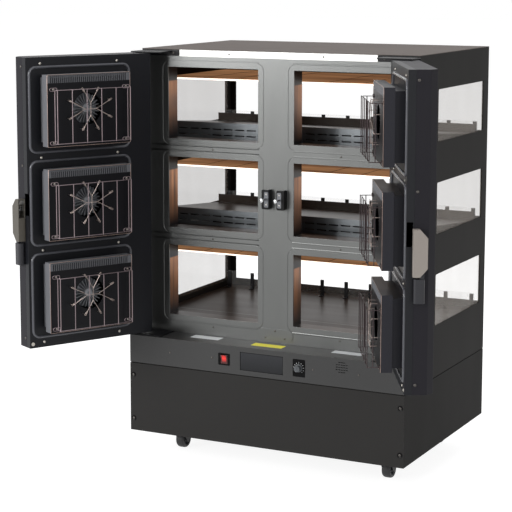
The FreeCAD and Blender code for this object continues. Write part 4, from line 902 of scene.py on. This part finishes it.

# Top: a plain sheet over the case, a bright rail over the doors and a bracket for each hinge pin.
# The obround cover closes the cable hole at the foot of the mullion.
# Painted reflection: the top's light taupe stands for the grazing sheen of dark paint, and the paint's own gloss is
# kept low.
eased("top_panel", powder_coat("top_paint", "#5f5956", 0.6, 0.03), 0.0006, 3)
eased("hinge_brackets", black_paint, 0.0006)
rail_satin = bright_metal("rail_satin", "#c2c2bf", 0.42, (0.05, 1.0, 1.0))
eased("trim_plates", rail_satin, 0.0005, part=("top_rail", 1.3, 1.5))
eased("trim_plates", frame_paint, 0.0005, part=("cable_cover", 0.4, 0.5))

# Screws of the case: small dark ones in the frame, the fascia, the rail and the cover, each with a cross
# recess. Those of the lower panel are dark as well and sit in the dished washers.
SMALL_SCREW = 0.0032
SCREW_DROP = 0.031
FASCIA_SCREWS = (0.344, 0.184)
RAIL_SCREW = 0.170
RAIL_PROUD = 0.003
RAIL_DROP = 0.013
BRACKET_SCREW = 0.380
BRACKET_FLANGE = 0.0025
COVER_THICKNESS = 0.0015
CASE_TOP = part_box("top_panel")[1].z
STAFF = (0, -1, 0)
COVER_SCREWS = ((-0.035, 0.440), (0.035, 0.440), (0.0, 0.463))
dark_seats = []
for side in SIDES.values():
    middle = side * (OPENING_INNER + OPENING_OUTER) / 2
    dark_seats += [(spot(middle, FRAME_FACE, sill - SCREW_DROP), STAFF, SMALL_SCREW) for sill in SILLS]
    dark_seats += [(spot(side * across, 0, CONTROL_LEVEL), STAFF, SMALL_SCREW) for across in FASCIA_SCREWS]
    dark_seats.append((spot(side * RAIL_SCREW, FRAME_FACE - RAIL_PROUD, CASE_TOP - RAIL_DROP), STAFF, SMALL_SCREW))
    dark_seats.append((spot(side * BRACKET_SCREW, FRAME_FACE - BRACKET_FLANGE, CASE_TOP - RAIL_DROP), STAFF,
                       PANEL_SCREW))
dark_seats += [(spot(across, FRAME_FACE - COVER_THICKNESS, up), STAFF, SMALL_SCREW) for across, up in COVER_SCREWS]
set_screws("case_screws_plain", "root", panel_screws, dark_screw, ["case_screws"])
set_screws("case_screws_dark", "root", dark_seats, dark_screw)
set_screws("striker_screws", "root", plate_screws, screw_zinc)

# Doors: a deep folded shell with a bevelled free edge, closed inside by a shallow pan.
# Each is drawn shut and then swung open on its pins; a soft bead round each opening seals it.
DOOR_FACE = 0.094
SEAL_MIDDLE = 0.016
SEAL_BEND = 0.0235
SEAL_HALF = 0.0045
SEAL_RISE = 0.0055
door_joints = {joint["name"]: joint for joint in frame["joints"]}
hung = {}
for side in SIDES:
    swing = door_joints[f"{side}_door_swing"]
    shut = max(swing["range_deg"], key=abs)
    pin = Vector(swing["pos_m"])
    hung[side] = (Matrix.Translation(pin) @ Matrix.Rotation(-math.radians(shut), 4, "Z")
                  @ Matrix.Translation(-pin))

shell_paint = powder_coat("door_paint", "#232226", 0.42, 0.07)
pan_paint = powder_coat("pan_paint", "#131418", 0.4, 0.2)
seal_rubber = soft_rubber("seal_rubber", "#46474c", 0.22)
bead_section = section_curve("bead_section", [
    (SEAL_HALF * math.cos(math.radians(angle)), SEAL_RISE * math.sin(math.radians(angle)) ** 0.7)
    for angle in range(0, 181, 20)])
for side, way in SIDES.items():
    eased(f"{side}_outer_shell", shell_paint, 0.0008)
    eased(f"{side}_inner_pan", pan_paint, 0.0007)
    loops = []
    for sill in SILLS:
        wide = (way * (OPENING_INNER - SEAL_MIDDLE), way * (OPENING_OUTER + SEAL_MIDDLE))
        high = (sill - SEAL_MIDDLE, sill + OPENING_RISE + SEAL_MIDDLE)
        loops.append([(wide[0], high[0], 0), (wide[1], high[0], 0), (wide[1], high[1], 0), (wide[0], high[1], 0)])
    beads = swept(f"{side}_seal_beads", loops, bead_section, SEAL_BEND, seal_rubber, closed=True, steps=8)
    beads.transform(hung[side] @ Matrix.Translation(spot(0, DOOR_FACE, 0)) @ upright)
    stand(f"{side}_seal_beads", beads, f"{side}_door", None, [f"{side}_door_seals"], smooth=True)

# Fan modules: a pressed housing on the pan for each tier, with a slotted grille and a round fan mouth.
# Behind the mouth are a bent heater tube, a motor and a radial impeller; a thin bright pinkish wire round the front
# plate is painted highlight, for the light that the plate's edges catch.
MODULE_INNER = 0.079
MODULE_OUTER = 0.382
MODULE_HALF = 0.1145
MODULE_FACE = 0.159
RIM_WIRE = 0.0005
PLATE_DEPTH = 0.0008
GRILLE_LOW = 0.208
GRILLE_HIGH = 0.2325


def module_finish(side):
    """Black paint on the front plate of a module, with a lighter grille band that is painted highlight; the slopes
    round it are bare grey steel, painted lit on the left door and shaded on the right.
    """
    outward = hung[side].to_3x3() @ Vector((0, 1, 0))
    face = outward.dot(hung[side] @ spot(0, MODULE_FACE, 0))
    steel = Finish(f"module_paint_{side}")
    depth = steel.node("ShaderNodeVectorMath", {"operation": "DOT_PRODUCT"},
                       {"Vector": steel.place, "Vector_001": outward}, "Value")
    plate = depth.between(face - PLATE_DEPTH * 2, face - PLATE_DEPTH)
    rise = ((steel.along("Z") - FIRST_SILL) / TIER_PITCH).shaped("FRACT") * TIER_PITCH
    grille = rise.between(GRILLE_LOW, GRILLE_LOW + 0.001) * (1 - rise.between(GRILLE_HIGH, GRILLE_HIGH + 0.001))
    # Painted highlight: the grille band is lighter grey for the light that its lands catch.
    front = steel.blend(grille, tint("#111114"), tint("#5c5d61"))
    peel = steel.mottle(0.0013, 1.0)
    wiped = steel.mottle(0.1, 2.0)
    # Painted light and shade: the same slopes are light grey on the left door and dark on the right.
    slope_light_and_shade = tint({"left": "#66676b", "right": "#26262b"}[side])
    return steel.coat({"Base Color": steel.blend(plate, slope_light_and_shade, front),
                       "Metallic": 0.2 - plate * 0.2, "Roughness": 0.32 + wiped * 0.08,
                       "Specular IOR Level": 0.15, "Normal": steel.relief(peel, 0.00003)})


# Painted highlight: the rim wire's bright pinkish metal stands for the light on the front plate's edges.
rim_highlight_metal = bright_metal("rim_highlight_metal", "#c0a79c", 0.3)
heater_metal = bright_metal("heater_metal", "#6e6660", 0.38)
motor_metal = bright_metal("motor_metal", "#74767a", 0.36, (1.0, 1.0, 6.0))
fan_metal = bright_metal("fan_metal", "#8d8f93", 0.34)
rim_section = ring_profile("rim_section", RIM_WIRE, 8)
MIDDLES = {row: sill + OPENING_RISE / 2 for row, sill in zip(("bottom", "middle", "top"), SILLS)}
for side, way in SIDES.items():
    eased(f"{side}_fan_housings", module_finish(side), 0.0006)
    eased(f"{side}_heater_rings", heater_metal, 0.0004)
    eased(f"{side}_fan_drives", motor_metal, 0.0006)
    for row in MIDDLES:
        eased(f"{side}_impeller_{row}", fan_metal, 0.0002, 1)
    rims = []
    for middle in MIDDLES.values():
        wide = (way * MODULE_INNER, way * MODULE_OUTER)
        high = (middle - MODULE_HALF, middle + MODULE_HALF)
        rims.append([spot(wide[0], MODULE_FACE, high[0]), spot(wide[1], MODULE_FACE, high[0]),
                     spot(wide[1], MODULE_FACE, high[1]), spot(wide[0], MODULE_FACE, high[1])])
    rim = swept(f"{side}_module_rims", rims, rim_section, 0.002, rim_highlight_metal, closed=True, steps=3)
    rim.transform(hung[side] @ Matrix.Translation((0, -RIM_WIRE * 0.4, 0)))
    stand(f"{side}_module_rims", rim, f"{side}_door", None, smooth=True)

# Fan guards: a cage of bent round wire stands off each module on four eyelets.
# A wire spider over the fan mouth has a cross at its hub and eight arms that end in narrow loops.
GUARD_INNER = 0.095
GUARD_OUTER = 0.361
GUARD_FACE = 0.197
GUARD_MID = 0.180
GUARD_LOW = -0.102
GUARD_HIGH = 0.068
GUARD_WIRES = 6
WIRE = 0.0015
THIN_WIRE = 0.0012
ARM_WIRE = 0.0010
LOOP_WIRE = 0.0007
EYELET_SHIFT = 0.005
EYELET_HALF = (0.013, 0.005)
FAN_ACROSS = 0.224
FAN_LIFT = 0.003
SPIDER_LEVEL = 0.180
SPIDER_HUB = 0.020
SPIDER_ARMS = (((0.020, 0.0), (0.074, 0.028)), ((0.0, 0.020), (0.028, 0.064)))
LOOP_HALF = (0.0075, 0.0021)
spider_wire = bright_metal("spider_wire", "#b3a59e", 0.28)
wire_section = ring_profile("wire_section", WIRE, 10)
thin_section = ring_profile("thin_section", THIN_WIRE, 8)
arm_section = ring_profile("arm_section", ARM_WIRE, 8)
loop_section = ring_profile("loop_section", LOOP_WIRE, 8)
for side, way in SIDES.items():
    # Painted light and shade: one guard wire is painted lighter on the left door and darker on the right.
    guard_wire = bright_metal(f"guard_wire_{side}", {"left": "#8d8083", "right": "#4a4142"}[side], 0.34)
    bars = []
    hoops = []
    eyelets = []
    arms = []
    tips = []
    for middle in MIDDLES.values():
        pitch = (GUARD_OUTER - GUARD_INNER) / (GUARD_WIRES - 1)
        for step in range(GUARD_WIRES):
            across = way * (GUARD_INNER + pitch * step)
            bars.append([spot(across, GUARD_FACE, middle + GUARD_LOW - WIRE),
                         spot(across, GUARD_FACE, middle + GUARD_HIGH + WIRE)])
        for across in (GUARD_INNER, GUARD_OUTER):
            bars.append([spot(way * across, GUARD_MID, middle + GUARD_LOW),
                         spot(way * across, GUARD_MID, middle + GUARD_HIGH)])
        for level in (middle + GUARD_LOW, middle + GUARD_HIGH):
            depth = GUARD_FACE - WIRE * 1.5
            hoops.append([spot(way * GUARD_INNER, MODULE_FACE + THIN_WIRE, level),
                          spot(way * GUARD_INNER, depth, level), spot(way * GUARD_OUTER, depth, level),
                          spot(way * GUARD_OUTER, MODULE_FACE + THIN_WIRE, level)])
            for across in (GUARD_INNER, GUARD_OUTER):
                centre = way * (across + EYELET_SHIFT)
                eyelets.append([spot(centre + x * EYELET_HALF[0], MODULE_FACE + THIN_WIRE, level + z * EYELET_HALF[1])
                                for x, z in ((-1, -1), (1, -1), (1, 1), (-1, 1))])
        fan = (way * FAN_ACROSS, middle + FAN_LIFT)
        arms.append([spot(fan[0] - SPIDER_HUB, SPIDER_LEVEL + WIRE, fan[1]),
                     spot(fan[0] + SPIDER_HUB, SPIDER_LEVEL + WIRE, fan[1])])
        arms.append([spot(fan[0], SPIDER_LEVEL, fan[1] - SPIDER_HUB), spot(fan[0], SPIDER_LEVEL, fan[1] + SPIDER_HUB)])
        for root, tip in SPIDER_ARMS:
            for flip in (-1, 1):
                for turn in (-1, 1):
                    start = Vector((fan[0] + root[0] * flip, fan[1] + root[1] * turn))
                    end = Vector((fan[0] + tip[0] * flip, fan[1] + tip[1] * turn))
                    ahead = (end - start).normalized()
                    beside = Vector((-ahead.y, ahead.x))
                    arms.append([spot(start.x, SPIDER_LEVEL, start.y), spot(end.x, SPIDER_LEVEL, end.y),
                                 spot(end.x, MODULE_FACE, end.y)])
                    corners = [end - ahead * LOOP_HALF[0] * 0.4 + ahead * x * LOOP_HALF[0] + beside * y * LOOP_HALF[1]
                               for x, y in ((-1, -1), (1, -1), (1, 1), (-1, 1))]
                    tips.append([spot(corner.x, SPIDER_LEVEL - WIRE, corner.y) for corner in corners])
    parts = (("guard_bars", bars, wire_section, 0.0, guard_wire, False),
             ("guard_hoops", hoops, thin_section, 0.007, guard_wire, False),
             ("guard_eyelets", eyelets, thin_section, 0.0049, guard_wire, True),
             ("spider_arms", arms, arm_section, 0.005, spider_wire, False),
             ("spider_tips", tips, loop_section, 0.002, spider_wire, True))
    for label, runs, section, bend, metal, closed in parts:
        mesh = swept(f"{side}_{label}", runs, section, bend, metal, closed=closed, steps=4)
        mesh.transform(hung[side])
        stand(f"{side}_{label}", mesh, f"{side}_door", None, smooth=True,
              replaced=[f"{side}_fan_guards"] if label == "guard_bars" else [])

# Door fittings: domed screws in the pan and the free edge, a round magnet low on the pan, and a turned
# bush in the shell for each hinge pin.
DOOR_LOW = 0.433
DOOR_HIGH = 1.374
FREE_EDGE = 0.037
PAN_SCREWS = (0.089, 0.3715)
EDGE_SCREW_ROWS = (DOOR_LOW + 0.030, DOOR_LOW + 0.594, DOOR_HIGH - 0.030)
EDGE_SCREW_ALONG = 0.063
MAGNET_PLACE = (0.047, DOOR_LOW + 0.014)
MAGNET_RADIUS = 0.006
MAGNET_RISE = 0.0024
BUSH_BORE = 0.00505
BUSH_RADIUS = 0.009
BUSH_LENGTH = 0.030
bush_bronze = bright_metal("bush_bronze", "#8d7350", 0.36)
for side, way in SIDES.items():
    outward = hung[side].to_3x3() @ Vector((0, 1, 0))
    freeward = hung[side].to_3x3() @ Vector((-way, 0, 0))
    seats = [(hung[side] @ spot(way * across, DOOR_FACE, sill - 0.0335), outward, PANEL_SCREW)
             for sill in SILLS + [SILLS[-1] + TIER_PITCH] for across in PAN_SCREWS]
    set_screws(f"{side}_pan_screws", f"{side}_door", seats, screw_zinc, [f"{side}_door_fittings"])
    edge_seats = [(hung[side] @ spot(way * FREE_EDGE, EDGE_SCREW_ALONG, row), freeward, PANEL_SCREW)
                  for row in EDGE_SCREW_ROWS]
    set_screws(f"{side}_edge_screws", f"{side}_door", edge_seats, dark_screw, seed=5)
    eye_seats = [(hung[side] @ spot(way * (across + EYELET_SHIFT), MODULE_FACE, middle + level), outward, 0.0036)
                 for middle in MIDDLES.values() for level in (GUARD_LOW, GUARD_HIGH)
                 for across in (GUARD_INNER, GUARD_OUTER)]
    set_screws(f"{side}_eyelet_screws", f"{side}_door", eye_seats, screw_zinc, seed=9)
    magnet = turned([(0, 0), (MAGNET_RADIUS, 0), (MAGNET_RADIUS, MAGNET_RISE * 0.8),
                     (MAGNET_RADIUS * 0.9, MAGNET_RISE), (MAGNET_RADIUS * 0.55, MAGNET_RISE),
                     (MAGNET_RADIUS * 0.5, MAGNET_RISE * 0.7), (0, MAGNET_RISE * 0.7)], 32, (0, 1, 0),
                    spot(way * MAGNET_PLACE[0], DOOR_FACE, MAGNET_PLACE[1]))
    magnet_mesh = tidy_mesh("magnet", magnet)
    magnet_mesh.transform(hung[side])
    stand(f"{side}_magnet", magnet_mesh, f"{side}_door", screw_zinc, smooth=True)
    pin = Vector(door_joints[f"{side}_door_swing"]["pos_m"])
    bushes = bmesh.new()
    for low in (DOOR_LOW, DOOR_HIGH - BUSH_LENGTH):
        edge = 0.0005
        bush = turned([(BUSH_BORE, edge), (BUSH_BORE + edge, 0), (BUSH_RADIUS - edge, 0), (BUSH_RADIUS, edge),
                       (BUSH_RADIUS, BUSH_LENGTH - edge), (BUSH_RADIUS - edge, BUSH_LENGTH),
                       (BUSH_BORE + edge, BUSH_LENGTH), (BUSH_BORE, BUSH_LENGTH - edge)], 40, (0, 0, 1),
                      Vector((pin.x, pin.y, low)))
        part = tidy_mesh("bush", bush)
        bushes.from_mesh(part)
    stand(f"{side}_bushes", tidy_mesh("bushes", bushes), f"{side}_door", bush_bronze, smooth=True)

# Latches: a light cast case on each free edge with a pocket for the post of the striker.
# A chrome claw rises behind the ball of the post when the grip below the case is pulled up.
grip_plastic = moulded_plastic("grip_plastic", "#26262a", 0.36)
for side in SIDES:
    # Painted shade: the left case is painted darker than the right for the dark that it reflects; both are one cast
    # finish.
    latch_cast = powder_coat(f"latch_cast_{side}", {"left": "#4a463f", "right": "#88817b"}[side], 0.34, 0.3)
    eased(f"{side}_latch_body", latch_cast, 0.0012, 3)
    eased(f"{side}_latch_lever", grip_plastic, 0.0012, 3)
    eased(f"{side}_latch_catch", chrome, 0.0004)
